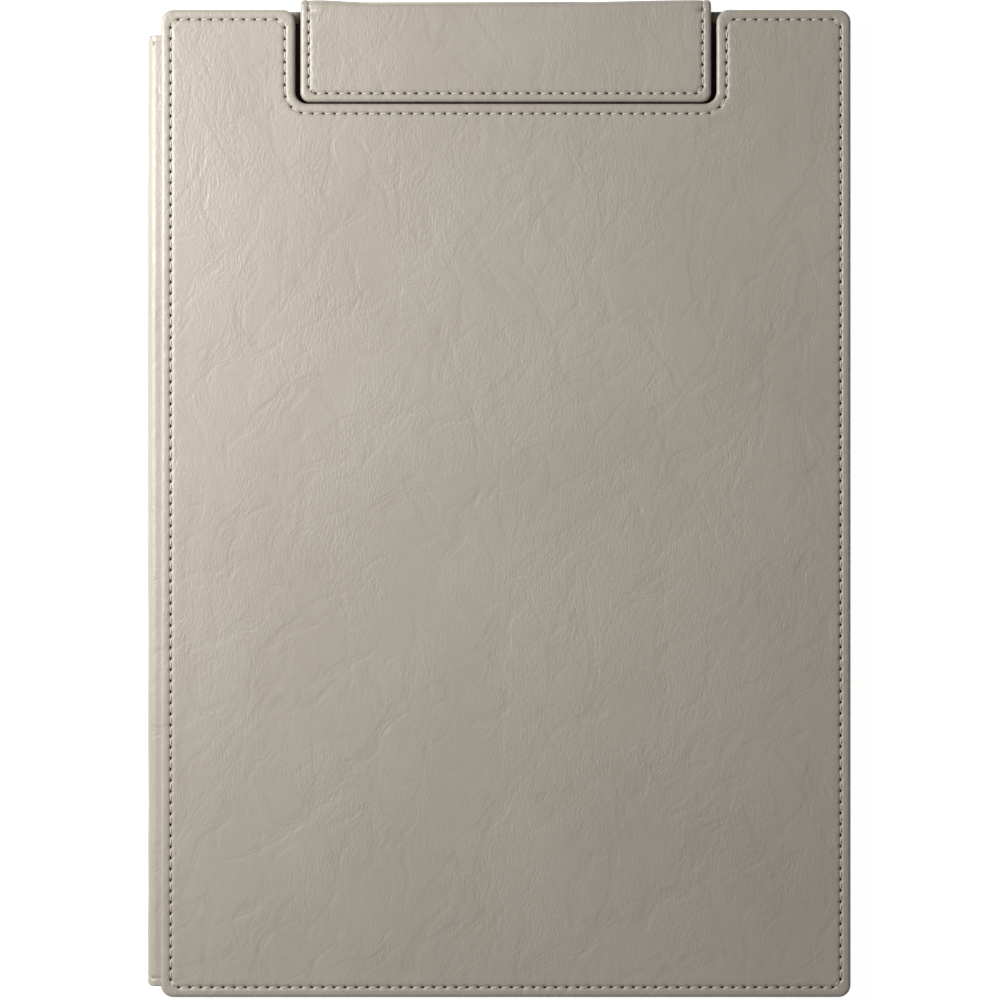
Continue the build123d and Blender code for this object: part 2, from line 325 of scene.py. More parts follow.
# %% [markdown]
# ## The skin of a panel
# The real skin is one sheet: it covers the face, rolls over the board's edge, and is turned in and glued on the
# inner side, where the lining hides its end. Here that section is a profile of (distance from the edge, height),
# carried along the outline: face, rolled edge, wall, hem and the hidden inner side, so the shell is closed. Where
# the spine strip or the clip's tail comes out of a panel, the turned edge stops below it.

# %% Section of the skin, and the shell it makes
def arc(start, end, count):
    """count angles from start to end, both included, in degrees."""
    return np.radians(np.linspace(start, end, count))


def skin_profile(thickness, seam, hem_end):
    """The skin's section from inside the seam, over the edge, along the hem and back inside, in three parts."""
    near = np.array([0.65, 0.40, 0.22, 0.10, 0, -0.10, -0.22, -0.40, -0.70, -1.10, -1.50, -1.90]) * MM
    face_depth = seam + near
    face_depth = np.append(face_depth[face_depth > EDGE_R + 0.15 * MM], EDGE_R)
    rolled = arc(15, 90, 6)
    lower = arc(0, 90, 5)
    outer_depth = np.concatenate([EDGE_R * (1 - np.sin(rolled)), HEM_R * (1 - np.cos(lower)), [1.3 * MM, hem_end]])
    outer_height = np.concatenate([EDGE_R * (np.cos(rolled) - 1), HEM_R * (1 - np.sin(lower)) - thickness,
                                   [-thickness, -thickness]])
    inner_depth = np.array([hem_end, SKIN_T, SKIN_T, FILL_FROM])
    inner_height = np.array([0.5 * MM - thickness, 0.5 * MM - thickness, -SKIN_T, -SKIN_T])
    return face_depth, (outer_depth, outer_height), (inner_depth, inner_height)


def slot_cap(edge, slots, thickness):
    """How deep the turned edge may reach at each outline point: less where a strap comes out of the panel."""
    cap = np.full(len(edge["xy"]), thickness)
    for normal, low, high, reach in slots:
        faces_out = edge["out"] @ np.array(normal) > 0.7
        along = edge["xy"] @ np.abs(np.array(normal)[::-1])
        inside = smoothstep(along, low - 0.6 * MM, low) * (1 - smoothstep(along, high, high + 0.6 * MM))
        cap = np.where(faces_out, cap + (reach - cap) * inside, cap)
    return cap


def skin_rings(edge, thickness, hem_end, slots=(), waves=1.0):
    """The section carried round an outline: points (ring, place, 3), hole marks and how much each point lies on
    the rolled edge. The section's face rings are lifted to the height of sewn leather."""
    face_depth, (outer_depth, outer_height), (inner_depth, inner_height) = \
        skin_profile(thickness, edge["inset"], hem_end)
    depth = np.concatenate([face_depth, outer_depth, inner_depth])
    face_rows, count = len(face_depth), len(edge["xy"])
    xy = edge["xy"][None] - depth[:, None, None] * edge["out"][None]
    cap = slot_cap(edge, slots, thickness)[None]
    sewn, hole = sewn_face(xy[:face_rows].reshape(-1, 2), np.repeat(face_depth, count), edge, waves)
    height = np.concatenate([sewn.reshape(face_rows, count), np.maximum(outer_height[:, None], -cap),
                             np.maximum(inner_height[:, None], 0.35 * MM - cap)])
    mark = np.zeros_like(height)
    mark[:face_rows] = hole.reshape(face_rows, count)
    roll = np.repeat(bell(np.arange(len(depth)) - face_rows - 2.5, 3.0)[:, None], count, axis=1)
    return np.concatenate([xy, height[:, :, None]], axis=2), mark, roll


def panel_skin(edge, thickness, slots):
    """A closed shell with its face at height 0: rings, and triangles inside the first and the last of them."""
    rings, mark, roll = skin_rings(edge, thickness, 3.8 * MM, slots)
    rows, count = mark.shape
    points, faces = [rings.reshape(-1, 3)], [grid_faces(rows, count, wrap_cols=True)]
    marks, rolls = [mark.ravel()], [roll.ravel()]
    for row, spacing, depths, fine in ((0, 3.2 * MM, (4.6 * MM, 6.2 * MM), 0.42 * MM), (rows - 1, 12 * MM, (), 0)):
        spots, triangles = fill_inside(rings[row, :, :2], edge, spacing, depths, fine)
        fresh = spots[count:]
        number = np.concatenate([row * count + np.arange(count), sum(map(len, points)) + np.arange(len(fresh))])
        height, hole = np.full(len(fresh), -SKIN_T), np.zeros(len(fresh))
        if row == 0:
            height, hole = sewn_face(fresh, nearest(fresh, edge["xy"]), edge)
        points.append(np.column_stack([fresh, height]))
        faces.append(number[triangles])
        marks.append(hole)
        rolls.append(np.zeros(len(fresh)))
    return np.concatenate(points), faces, {"hole": np.concatenate(marks), "roll": np.concatenate(rolls)}


def face_up(points):
    """Lay a panel's points on top of the closed folder."""
    return points + np.array([0, 0, FACE_Z])


def face_down(points):
    """Turn a panel's points over, so that its face lies on the ground."""
    return points * np.array([1, 1, -1])


spine_slot = ((-1, 0), strip_low.y, strip_high.y, 1.4 * MM)
tail_slot = ((0, 1), flap_low.x, flap_high.x, 1.7 * MM)
points, faces, marks = panel_skin(cover_edge, PANEL_T, [spine_slot])
cover_leather = new_piece("cover_leather", face_up(points), faces, attributes=marks)
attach(cover_leather, "front_cover")
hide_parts("cover_skin")

points, faces, marks = panel_skin(back_edge, PANEL_T, [spine_slot, tail_slot])
points[:, 2] = np.minimum(points[:, 2], 0)
back_leather = new_piece("back_leather", face_down(points), faces, attributes=marks)
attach(back_leather, "back_panel")
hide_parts("back_skin")
print("cover leather", len(cover_leather.data.polygons), "faces; back leather", len(back_leather.data.polygons))

# %% [markdown]
# ## Stitches
# A lockstitch seam shows one short thread after another, each diving into a needle hole at both ends. Each stitch
# is a small closed tube between two holes, arched and slightly slanted. One array holds all of them at once:
# stitch, place along it and place round it. The UV map runs along and round the thread, for its twist.

# %% Stitches from hole to hole
RINGS, SIDES = 7, 7                          # of one stitch's tube
SUNK = 0.62 * MM                             # its two ends lie this far below the leather


def stitches(name, starts, ends, up, proud, radius=THREAD_R, slant=0.13 * MM, reach=(0.19, 0.95)):
    """Tubes from starts to ends. The line rises from under the surface to proud above it, times
    sin(pi u^0.8)^0.6."""
    starts, ends, up = (np.asarray(a, float) for a in (starts, ends, up))
    chord = ends - starts
    ahead = chord / np.linalg.norm(chord, axis=1, keepdims=True)
    side = np.cross(ahead, up)
    u = np.linspace(0, 1, RINGS)
    arch = np.sin(np.pi * u ** 0.8) ** 0.6
    lift = (-SUNK + (proud - radius + SUNK) * arch)[None, :, None] * up[:, None]
    line = starts[:, None] + chord[:, None] * (reach[0] + (reach[1] - reach[0]) * u)[None, :, None]
    line = line + side[:, None] * (slant * (1 - 2 * u))[None, :, None] + lift
    around = 2 * np.pi * np.arange(SIDES) / SIDES
    thick = radius * (0.72 + 0.28 * np.sin(np.pi * u) ** 0.5)
    ring = np.cos(around)[None, None, :, None] * side[:, None, None] + \
        np.sin(around)[None, None, :, None] * up[:, None, None]
    points = line[:, :, None] + thick[None, :, None, None] * ring
    tube = grid_faces(RINGS, SIDES, wrap_cols=True)
    caps = np.array([np.arange(SIDES), (RINGS - 1) * SIDES + np.arange(SIDES)])
    first = (np.arange(len(starts)) * RINGS * SIDES)[:, None, None]
    faces = [(tube[None] + first).reshape(-1, 4), (caps[None] + first).reshape(-1, SIDES)]
    uv = np.stack(np.meshgrid(u, np.arange(SIDES) / SIDES, indexing="ij"), axis=2)
    uv = np.tile(uv.reshape(-1, 2), (len(starts), 1))
    return new_piece(name, points.reshape(-1, 3), faces, uv=uv)


def seam_stitches(edge, place, height, keep=None):
    """Start and end of each stitch of a walked seam. place turns panel points to where the panel lies, and keep
    picks stitches by their middle."""
    holes = place(np.column_stack([edge["holes"], np.full(len(edge["holes"]), height)]))
    following = np.roll(holes, -1, axis=0)
    if not edge["closed"]:
        holes, following = holes[:-1], following[:-1]
    kept = np.ones(len(holes), bool) if keep is None else keep((holes + following) / 2)
    return holes[kept], following[kept]


def up_rows(starts, z):
    """The same up vector for each stitch."""
    return np.tile([0.0, 0.0, z], (len(starts), 1))


starts, ends = seam_stitches(cover_edge, face_up, 0)
cover_stitches = stitches("cover_stitches", starts, ends, up_rows(starts, 1), 0.14 * MM)
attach(cover_stitches, "front_cover")
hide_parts("cover_seam_thread")
starts, ends = seam_stitches(back_edge, face_down, 0)
back_stitches = stitches("back_stitches", starts, ends, up_rows(starts, -1), -0.02 * MM)
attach(back_stitches, "back_panel")
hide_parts("back_seam_thread")
print("stitches", len(cover_stitches.data.polygons), len(back_stitches.data.polygons))

# %% [markdown]
# ## Linings and the slip pocket
# The lining is a thinner black sheet that covers the inner side and the ends of the turned skin, so only its edge
# and its face ever show. It is the same walk and the same fill with a simpler section: a slab with a soft edge.
# The pocket is one more such sheet over the lower part, with its mouth folded double.

# %% Lining sheets
def lining_sheet(edge, thickness, waves=0.35):
    """A soft-edged slab inside the hem, its visible face at height 0, furrowed along the seam."""
    lip = 0.28 * MM
    rolled = arc(90, 0, 4)
    over = np.array([1.35, 1.05, 0.85, 0.70, 0.55]) * MM
    depth = np.concatenate([HEM + over, HEM + lip * (1 - np.sin(rolled)[::-1]), [HEM, HEM + over[0]]])
    height = np.concatenate([np.zeros(len(over)), lip * (np.cos(rolled)[::-1] - 1), [-thickness, -thickness]])
    order = np.argsort(-depth[:len(over) + len(rolled)])
    depth[:len(order)], height[:len(order)] = depth[order], height[order]
    count = len(edge["xy"])
    xy = edge["xy"][None] - depth[:, None, None] * edge["out"][None]
    furrow = 0.12 * MM * bell(depth - edge["inset"], 0.3 * MM)[:, None] * np.ones(count)[None]
    furrow[len(order):] = 0
    points = np.concatenate([xy, (height[:, None] - furrow)[:, :, None]], axis=2).reshape(-1, 3)
    faces = [grid_faces(len(depth), count, wrap_cols=True)]
    for row, level in ((0, 0.0), (len(depth) - 1, -thickness)):
        spots, triangles = fill_inside(xy[row], edge, 8 * MM)
        fresh = spots[count:]
        wave = waves * slow_waves(fresh[:, 0] + 0.3, fresh[:, 1]) * (row == 0) - 0.04 * MM * (row == 0)
        number = np.concatenate([row * count + np.arange(count), len(points) + np.arange(len(fresh))])
        points = np.concatenate([points, np.column_stack([fresh, level + wave])])
        faces.append(number[triangles])
    return points, faces


def on_cover_inside(points):
    """Turn an inner sheet's points down, onto the lining side of the closed cover."""
    return points * np.array([1, 1, -1]) + np.array([0, 0, FACE_Z - PANEL_T])


def on_back_inside(points):
    """Lay an inner sheet's points on the inner side of the back panel."""
    return points + np.array([0, 0, PANEL_T])


LINING_T = 0.3 * MM
points, faces = lining_sheet(cover_edge, LINING_T)
cover_inner = new_piece("cover_inner_lining", on_cover_inside(points), faces)
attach(cover_inner, "front_cover")
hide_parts("cover_lining")
points, faces = lining_sheet(back_edge, LINING_T)
back_inner = new_piece("back_inner_lining", on_back_inside(points), faces)
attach(back_inner, "back_panel")
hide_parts("back_lining")
print("linings", len(cover_inner.data.polygons), "and", len(back_inner.data.polygons), "faces")

# %% [markdown]
# ## The slip pocket
# The cover holds loose papers in a flat pocket: a thin sheet over its lower half, sewn on three sides, with its
# mouth folded double and stitched. It could be the lining's walk again, cut off half way. But the folded mouth and
# its seam run straight across, so a plain grid is shorter, with its rows close together where the section bends.

# %% Pocket sheet
POCKET_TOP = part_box("cover_pocket")[1].y
POCKET_T = 0.4 * MM
POCKET_HEM = 8 * MM
POCKET_SEAM = 6 * MM                         # the mouth's seam, from the mouth


def pocket_sheet():
    """Rows across the pocket from foot to mouth and back along the underside, closed at both sides."""
    half = HALF_W - HEM
    foot = -TOP + HEM
    x = np.concatenate([[-half], np.linspace(-half + 0.3 * MM, half - 0.3 * MM, 120), [half]])
    face_y = np.concatenate([foot + np.array([0, 0.2, 0.5, 0.7, 1.0, 2.0]) * MM,
                             np.linspace(foot + 4 * MM, POCKET_TOP - POCKET_HEM - 1 * MM, 40),
                             POCKET_TOP - POCKET_HEM + np.array([-0.15, 0.1, 0.35]) * MM,
                             POCKET_TOP - np.array([6.6, 6.25, 6.0, 5.75, 5.4, 3.0, 1.0, 0.5, 0.2, 0.0]) * MM])
    folded = smoothstep(face_y, POCKET_TOP - POCKET_HEM - 0.1 * MM, POCKET_TOP - POCKET_HEM + 0.3 * MM)
    face_h = POCKET_T * (1 + folded) - 0.1 * MM * bell(face_y - (POCKET_TOP - POCKET_SEAM), 0.25 * MM)
    face_h -= 0.10 * MM * bell(face_y - (-TOP + SEAM_INSET), 0.25 * MM)
    face_h -= 0.25 * MM * bell(face_y - foot, 0.15 * MM) + 0.35 * MM * bell(face_y - POCKET_TOP, 0.2 * MM)
    y = np.concatenate([face_y, face_y[::-1]])
    height = np.concatenate([face_h, np.zeros(len(face_y))])
    grid_x, grid_y = np.meshgrid(x, y)
    grid_h = np.repeat(height[:, None], len(x), axis=1)
    upper = (np.arange(len(y)) < len(face_y))[:, None]
    from_side = half - np.abs(grid_x)
    grid_h -= upper * 0.25 * MM * bell(from_side, 0.15 * MM)
    belly = smoothstep(from_side, 2 * MM, 40 * MM) * smoothstep(grid_y, foot, 0) * (grid_y < POCKET_TOP + MM)
    grid_h += belly * (0.16 * MM + 0.6 * slow_waves(grid_x + 0.7, grid_y)) * 0.8
    points = np.stack([grid_x, grid_y, np.maximum(grid_h, 0.02 * MM * upper)], axis=2).reshape(-1, 3)
    faces = [grid_faces(len(y), len(x), wrap_rows=True)]
    column = np.arange(len(y)) * len(x)
    faces.append([column, (column + len(x) - 1)[::-1]])
    return points, faces


points, faces = pocket_sheet()
pocket = new_piece("cover_slip_pocket", on_cover_inside(points), faces)
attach(pocket, "front_cover")
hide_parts("cover_pocket")
print("pocket mouth at y =", round(POCKET_TOP / MM, 1), "mm")

# %% [markdown]
# ## The inner threads
# A seam goes through the whole panel, so the same holes carry a second thread on the lining side. A painted dashed
# line would do from far off, but the thread catches light along its arch, so each stitch is a tube here too. Over
# the pocket the stitches lie higher by the pocket's thickness.

# %% Stitches of the inner sides
starts, ends = seam_stitches(back_edge, on_back_inside, 0)
back_inner_stitches = stitches("back_inner_stitches", starts, ends, up_rows(starts, 1), 0.08 * MM)
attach(back_inner_stitches, "back_panel")
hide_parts("back_seam_thread")
starts, ends = seam_stitches(cover_edge, on_cover_inside, 0, lambda m: m[:, 1] > POCKET_TOP)
over_pocket = seam_stitches(cover_edge, on_cover_inside, POCKET_T, lambda m: m[:, 1] <= POCKET_TOP)
starts, ends = np.concatenate([starts, over_pocket[0]]), np.concatenate([ends, over_pocket[1]])
cover_inner_stitches = stitches("cover_inner_stitches", starts, ends, up_rows(starts, -1), 0.08 * MM)
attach(cover_inner_stitches, "front_cover")
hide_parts("cover_seam_thread")
mouth_row = np.arange(-HALF_W + 2 * SEAM_INSET, HALF_W - 2 * SEAM_INSET, PITCH)
hem_holes = on_cover_inside(np.column_stack([mouth_row, np.full(len(mouth_row), POCKET_TOP - POCKET_SEAM),
                                             np.full(len(mouth_row), 2 * POCKET_T)]))
pocket_stitches = stitches("pocket_hem_stitches", hem_holes[:-1], hem_holes[1:],
                           up_rows(hem_holes[:-1], -1), 0.08 * MM)
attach(pocket_stitches, "front_cover")
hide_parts("pocket_seam_thread")
print("inner stitches", len(back_inner_stitches.data.polygons), len(cover_inner_stitches.data.polygons))

# %% [markdown]
# ## Carrying a section along a path
# The spine strip and the clip's fold are straps: one section all the way, bent along a path. The path is straight
# runs and quarter or half turns, so its points and its outward directions follow from the angle. The strap's
# surface is path point + outward direction * section height, with the section's width left as it is.

# %% Paths and straps
def bent_path(corners, radii, step):
    """Points, outward normals and lengths along a path of runs and quarter turns in a plane. Outward is to the
    left of the way ahead, and the path turns to the right."""
    corners = np.array(corners, float)
    ahead = np.diff(corners, axis=0)
    ahead /= np.linalg.norm(ahead, axis=1, keepdims=True)
    points, normals = [], []

    def straight(start, end, direction):
        count = max(1, round(np.linalg.norm(end - start) / step))
        share = np.arange(count)[:, None] / count
        points.append(start + (end - start) * share)
        normals.append(np.tile([-direction[1], direction[0]], (count, 1)))

    here = corners[0]
    for i, radius in enumerate(radii):
        before, after = ahead[i], ahead[i + 1]
        straight(here, corners[i + 1] - before * radius, before)
        centre = corners[i + 1] - before * radius + after * radius
        count = max(6, round(radius * math.pi / 2 / (0.6 * step)))
        angle = (np.arange(count) / count * math.pi / 2)[:, None]
        outward = -after * np.cos(angle) + before * np.sin(angle)
        points.append(centre + radius * outward)
        normals.append(outward)
        here = corners[i + 1] + after * radius
    straight(here, corners[-1], ahead[-1])
    points.append(corners[-1:])
    normals.append(np.array([[-ahead[-1][1], ahead[-1][0]]]))
    points, normals = np.concatenate(points), np.concatenate(normals)
    length = np.concatenate([[0], np.cumsum(np.linalg.norm(np.diff(points, axis=0), axis=1))])
    return points, normals, length


def close_rows(grid):
    """Repeat the first and last rows of a grid a hair's breadth inside it. Smooth shading turns the normals of a cut
    edge half towards the cut, and these rows keep that to a line too thin to see."""
    after, before = grid[0] + 0.04 * (grid[1] - grid[0]), grid[-1] + 0.04 * (grid[-2] - grid[-1])
    return np.concatenate([grid[:1], after[None], grid[1:-1], before[None], grid[-1:]])


def strap(name, path, normals, across, height, place, attributes=None):
    """A closed strap: section point j sits at path + normal * height[i, j], and across[i, j] to the side."""
    flat = path[:, None] + normals[:, None] * height[:, :, None]
    points = close_rows(place(flat[..., 0], flat[..., 1], across))
    rows, cols = points.shape[:2]
    points = points.reshape(-1, 3)
    attributes = {key: close_rows(marks) for key, marks in (attributes or {}).items()}
    faces = [grid_faces(rows, cols, wrap_cols=True)]
    faces.append([np.arange(cols), ((rows - 1) * cols + np.arange(cols))[::-1]])
    return new_piece(name, points, faces, attributes=attributes, flat=(-1,))


# %% [markdown]
# ## The spine
# The strip is two leathers sewn together at both ends, caught in the panels' edges, and bulging in a half round
# between them. When the cover opens, the leather rolls about two lines: one at the back panel, one at the cover.
# A blend can follow one joint only, so each leather is made in two halves that meet at the crest of the bulge.

# %% Spine strip and spine lining
SPINE_T = 0.75 * MM
STUB_MID = 2.15 * MM
SPINE_R = FACE_Z / 2 - STUB_MID
CREST_X = strip_low.x + SPINE_T
SPINE_X = CREST_X + SPINE_R
END_SEAM = 2.6 * MM                          # the strip's end seams, from its ends
END_HOLES = np.radians([-68, -22, 22, 68])   # their needle holes, round the bulge from its crest


def spine_path(count=44):
    """Middle of the strap from the back panel's inside, round the bulge, to the cover's inside, in x and z."""
    stub = np.linspace(-HALF_W + TUCK, SPINE_X, 8)[:-1]
    angle = np.linspace(-90, 90, count + 1)
    bulge = np.radians(angle)
    x = np.concatenate([stub, SPINE_X - SPINE_R * np.cos(bulge), stub[::-1]])
    z = np.concatenate([np.full(7, STUB_MID), FACE_Z / 2 + SPINE_R * np.sin(bulge), np.full(7, FACE_Z - STUB_MID)])
    nx = np.concatenate([np.zeros(7), -np.cos(bulge), np.zeros(7)])
    nz = np.concatenate([-np.ones(7), np.sin(bulge), np.ones(7)])
    return np.stack([x, z], axis=1), np.stack([nx, nz], axis=1)


def along_spine(x, z, side):
    """Put a strap's path in x and z, and its section's width along y."""
    return np.stack([x, side, z], axis=-1)


def spine_half(name, layer, which):
    """Half of one leather: the path with a flat section on it, dipped at the end seams, rippled between them and
    swelling slowly along the spine. layer is +1 for the outer leather and -1 for the lining, and both touch the
    middle line."""
    path, normals = spine_path()
    middle = len(path) // 2
    rows = slice(0, middle + 1) if which == "back" else slice(middle, len(path))
    path, normals = path[rows], normals[rows]
    low, high = strip_low.y, strip_high.y
    ends = np.array([0, 0.06, 0.2, 0.45, 0.9, 1.5, 2.1, 2.35, 2.6, 2.85, 3.1, 3.8, 5.0, 7.0]) * MM
    face_y = np.concatenate([low + ends, np.linspace(low + 10 * MM, high - 10 * MM, 130), (high - ends)[::-1]])
    from_end = np.minimum(face_y - low, high - face_y)
    soft = 0.22 * MM * bell(from_end, 0.14 * MM)
    furrow = 0.16 * MM * bell(from_end - END_SEAM, 0.34 * MM)
    ripple = 0.05 * MM * np.sin(face_y / 0.0061 + 1.5 * np.sin(face_y / 0.019)) * smoothstep(from_end, 3 * MM, 9 * MM)
    face = SPINE_T - soft - furrow + ripple
    y = np.concatenate([face_y, face_y[::-1]])
    section = np.concatenate([face, np.zeros(len(face_y))])
    height = layer * np.repeat(section[None], len(path), axis=0)
    bulging = smoothstep(-path[:, 0], HALF_W - 1 * MM, HALF_W + 2 * MM)[:, None]
    crest = smoothstep(-path[:, 0], -SPINE_X, -CREST_X)[:, None]
    swell = 0.10 * MM * np.sin(y / 0.043 + 0.6)[None] * bulging
    across = np.repeat(y[None], len(path), axis=0)
    round_off = 1.1 * MM * crest ** 3
    to_high = bell(np.maximum(high - across, 0), 3 * MM) * round_off
    to_low = bell(np.maximum(across - low, 0), 3 * MM) * round_off * 0.6
    across = across - to_high + to_low
    holes = bell(np.concatenate([from_end, np.full(len(face_y), 1.0)]) - END_SEAM, 0.34 * MM)[None]
    angle = np.arctan2(normals[:, 1], -normals[:, 0])[:, None]
    at_hole = sum(bell((angle - a) * (SPINE_R + SPINE_T), 0.4 * MM) for a in END_HOLES)
    # This mark is what the leather's finish paints near black at the end seams' holes, as painted shade.
    mark = holes * at_hole * (layer > 0)
    height = height - layer * 0.45 * MM * mark + swell * layer
    return strap(name, path, normals, across, height, along_spine, {"hole": mark, "roll": np.zeros(height.shape)})


def bend_spine(piece, which):
    """Bake a half of the spine's placement into its mesh, the same for either half."""
    if which == "back":
        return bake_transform(piece)
    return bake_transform(piece)


def end_stitches(which):
    """The short seam across both ends of the strip, over the half of the bulge on one panel's side. A hole at
    angle t from the crest lies at (x - r cos t, z + r sin t) about the middle of the bulge."""
    sign = -1 if which == "back" else 1
    marks = np.concatenate([[0.0], END_HOLES[2:]]) * sign
    middle = (marks[:-1] + marks[1:]) / 2
    radius = SPINE_R + SPINE_T
    starts, ends, ups = [], [], []
    for y in (strip_low.y + END_SEAM, strip_high.y - END_SEAM):
        row = np.full(len(marks), y)
        spots = along_spine(SPINE_X - radius * np.cos(marks), FACE_Z / 2 + radius * np.sin(marks), row)
        starts += list(spots[:-1])
        ends += list(spots[1:])
        ups += list(along_spine(-np.cos(middle), np.sin(middle), np.zeros(len(middle))))
    return stitches(f"spine_end_stitches_{which}", starts, ends, ups, 0.16 * MM, slant=0.05 * MM, reach=(0.04, 0.96))


leather_pieces, lining_pieces, spine_stitches = [], [], []
for which in ("back", "cover"):
    outer = bend_spine(spine_half(f"spine_leather_{which}", 1, which), which)
    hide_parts("spine_strip")
    inner = bend_spine(spine_half(f"spine_lining_{which}", -1, which), which)
    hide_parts("spine_lining")
    sewn = bend_spine(end_stitches(which), which)
    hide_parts("spine_end_threads")
    leather_pieces.append(outer)
    lining_pieces.append(inner)
    spine_stitches.append(sewn)
print("spine bulges", round((-HALF_W - strip_low.x) / MM, 2), "mm past the panels")

# %% [markdown]
# ## The flap clip
# The flap is a small panel, walked round three sides only: its upper end runs on as the fold over the folder's top
# edge. The flap itself is stiff, so it rides with its own body. The fold is leather, so it is a strap that bends
# from the flap to the back panel, as the spine does. Its edges meet the flap's edges point for point.

# %% The flap's leather
FLAP_HALF_W = flap_high.x
FLAP_LOW = core_low.y - SKIN_T
FLAP_R = 3.0 * MM
FLAP_T = 5.5 * MM
FLAP_SEAM = 2.7 * MM
FLAP_END = core_high.y
CUT = 0.03 * MM                              # last strip before a cut end, too thin to see
flap_points = [(-FLAP_HALF_W, FLAP_END - CUT), (-FLAP_HALF_W, FLAP_LOW), (FLAP_HALF_W, FLAP_LOW),
               (FLAP_HALF_W, FLAP_END - CUT)]
flap_edge = walk(flap_points, [0, FLAP_R, FLAP_R, 0], FLAP_SEAM, closed=False)
FLAP_FILL = FLAP_SEAM + 0.65 * MM
end_x = np.linspace(-FLAP_HALF_W + FLAP_FILL, FLAP_HALF_W - FLAP_FILL, 42)


def flap_shell():
    """Rings round three sides, triangles inside the first and the last, a thin strip round the open end, and quads
    across it."""
    rings, mark, roll = skin_rings(flap_edge, FLAP_T, 1.9 * MM, waves=0)
    rows, count = mark.shape
    points, faces = [rings.reshape(-1, 3)], [grid_faces(rows, count)]
    marks, rolls = [mark.ravel()], [roll.ravel()]
    end_line = np.column_stack([end_x[1:-1][::-1], np.full(len(end_x) - 2, FLAP_END - CUT)])
    end_numbers = []
    for row, spacing, depths, fine in ((0, 2.6 * MM, (4.2 * MM,), 0.42 * MM), (rows - 1, 9 * MM, (), 0)):
        border = np.concatenate([rings[row, :, :2], end_line])
        spots, triangles = fill_inside(border, flap_edge, spacing, depths, fine)
        fresh = spots[count:]
        first = sum(map(len, points))
        number = np.concatenate([row * count + np.arange(count), first + np.arange(len(fresh))])
        height, hole = np.full(len(fresh), -SKIN_T), np.zeros(len(fresh))
        if row == 0:
            calm = 1 - smoothstep(fresh[:, 1], FLAP_END - 8 * MM, FLAP_END - CUT)
            height, hole = sewn_face(fresh, nearest(fresh, flap_edge["xy"]), flap_edge, 1.6 * calm)
        points.append(np.column_stack([fresh, height]))
        faces.append(number[triangles])
        marks.append(hole)
        rolls.append(np.zeros(len(fresh)))
        ends = [row * count + count - 1, *(first + np.arange(len(end_line))), row * count]
        end_numbers.append(np.array(ends))
    across, under = end_numbers
    left, right = np.arange(rows) * count, np.arange(rows) * count + count - 1
    loop = np.concatenate([across[:-1], left[:-1], under[:0:-1], right[:0:-1]])
    points, marks, rolls = np.concatenate(points), np.concatenate(marks), np.concatenate(rolls)
    fresh = len(points) + np.arange(len(loop))
    ahead, behind = np.roll(loop, -1), loop
    faces.append(np.stack([behind, ahead, np.roll(fresh, -1), fresh], axis=1))
    moved = np.zeros(len(points), int)
    moved[loop] = fresh
    faces.append(np.stack([moved[across[:-1]], moved[across[1:]], moved[under[1:]], moved[under[:-1]]], axis=1))
    faces.append(np.stack([moved[left], moved[right]]))
    points = np.concatenate([points, points[loop] + np.array([0, CUT, 0])])
    return points, faces, {"hole": np.append(marks, marks[loop]), "roll": np.append(rolls, rolls[loop])}


points, faces, marks = flap_shell()
clip_leather = new_piece("clip_flap_leather", face_up(points), faces, attributes=marks, flat=(-2, -1))
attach(clip_leather, "clip_flap")
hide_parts("clip_skin")
leather_pieces.append(clip_leather)
print("flap's leather", len(clip_leather.data.polygons), "faces")

# %% [markdown]
# ## The fold over the top edge
# On the real clip the flap's leather runs on over the folder's top edge and down into the back panel. It could be
# one mesh with the flap. Only this part bends, though, so it is a strap of its own that starts at the flap's open
# end. It stands out further at its sewn sides than in its middle, as leather does over a doubled edge.

# %% Fold leather
FOLD_OUT = flap_high.y
TAIL_Z = flap_low.z
FOLD_TOP_R = 2.3 * MM
FOLD_LOW_R = 1.6 * MM


def fold_path(inward, step=0.45 * MM):
    """The strap's outer line moved inward: from the flap, over the top, down, and into the back panel."""
    corners = [(FLAP_END, FACE_Z - inward), (FOLD_OUT - inward, FACE_Z - inward),
               (FOLD_OUT - inward, TAIL_Z + inward), (TOP - TUCK, TAIL_Z + inward)]
    return bent_path(corners, [FOLD_TOP_R - inward, FOLD_LOW_R - inward], step)


def fold_swell(x):
    """The fold stands out less in its middle than at its sewn sides, and more gently so on the free side."""
    left = smoothstep(-x, 43 * MM, 61 * MM)
    right = smoothstep(x, 14 * MM, 61 * MM)
    return 0.4 * MM + 0.75 * MM * np.maximum(left, right)


def across_flap(y, z, side):
    """Put a strap's path in y and z, and its section's width along x."""
    return np.stack([side, y, z], axis=-1)


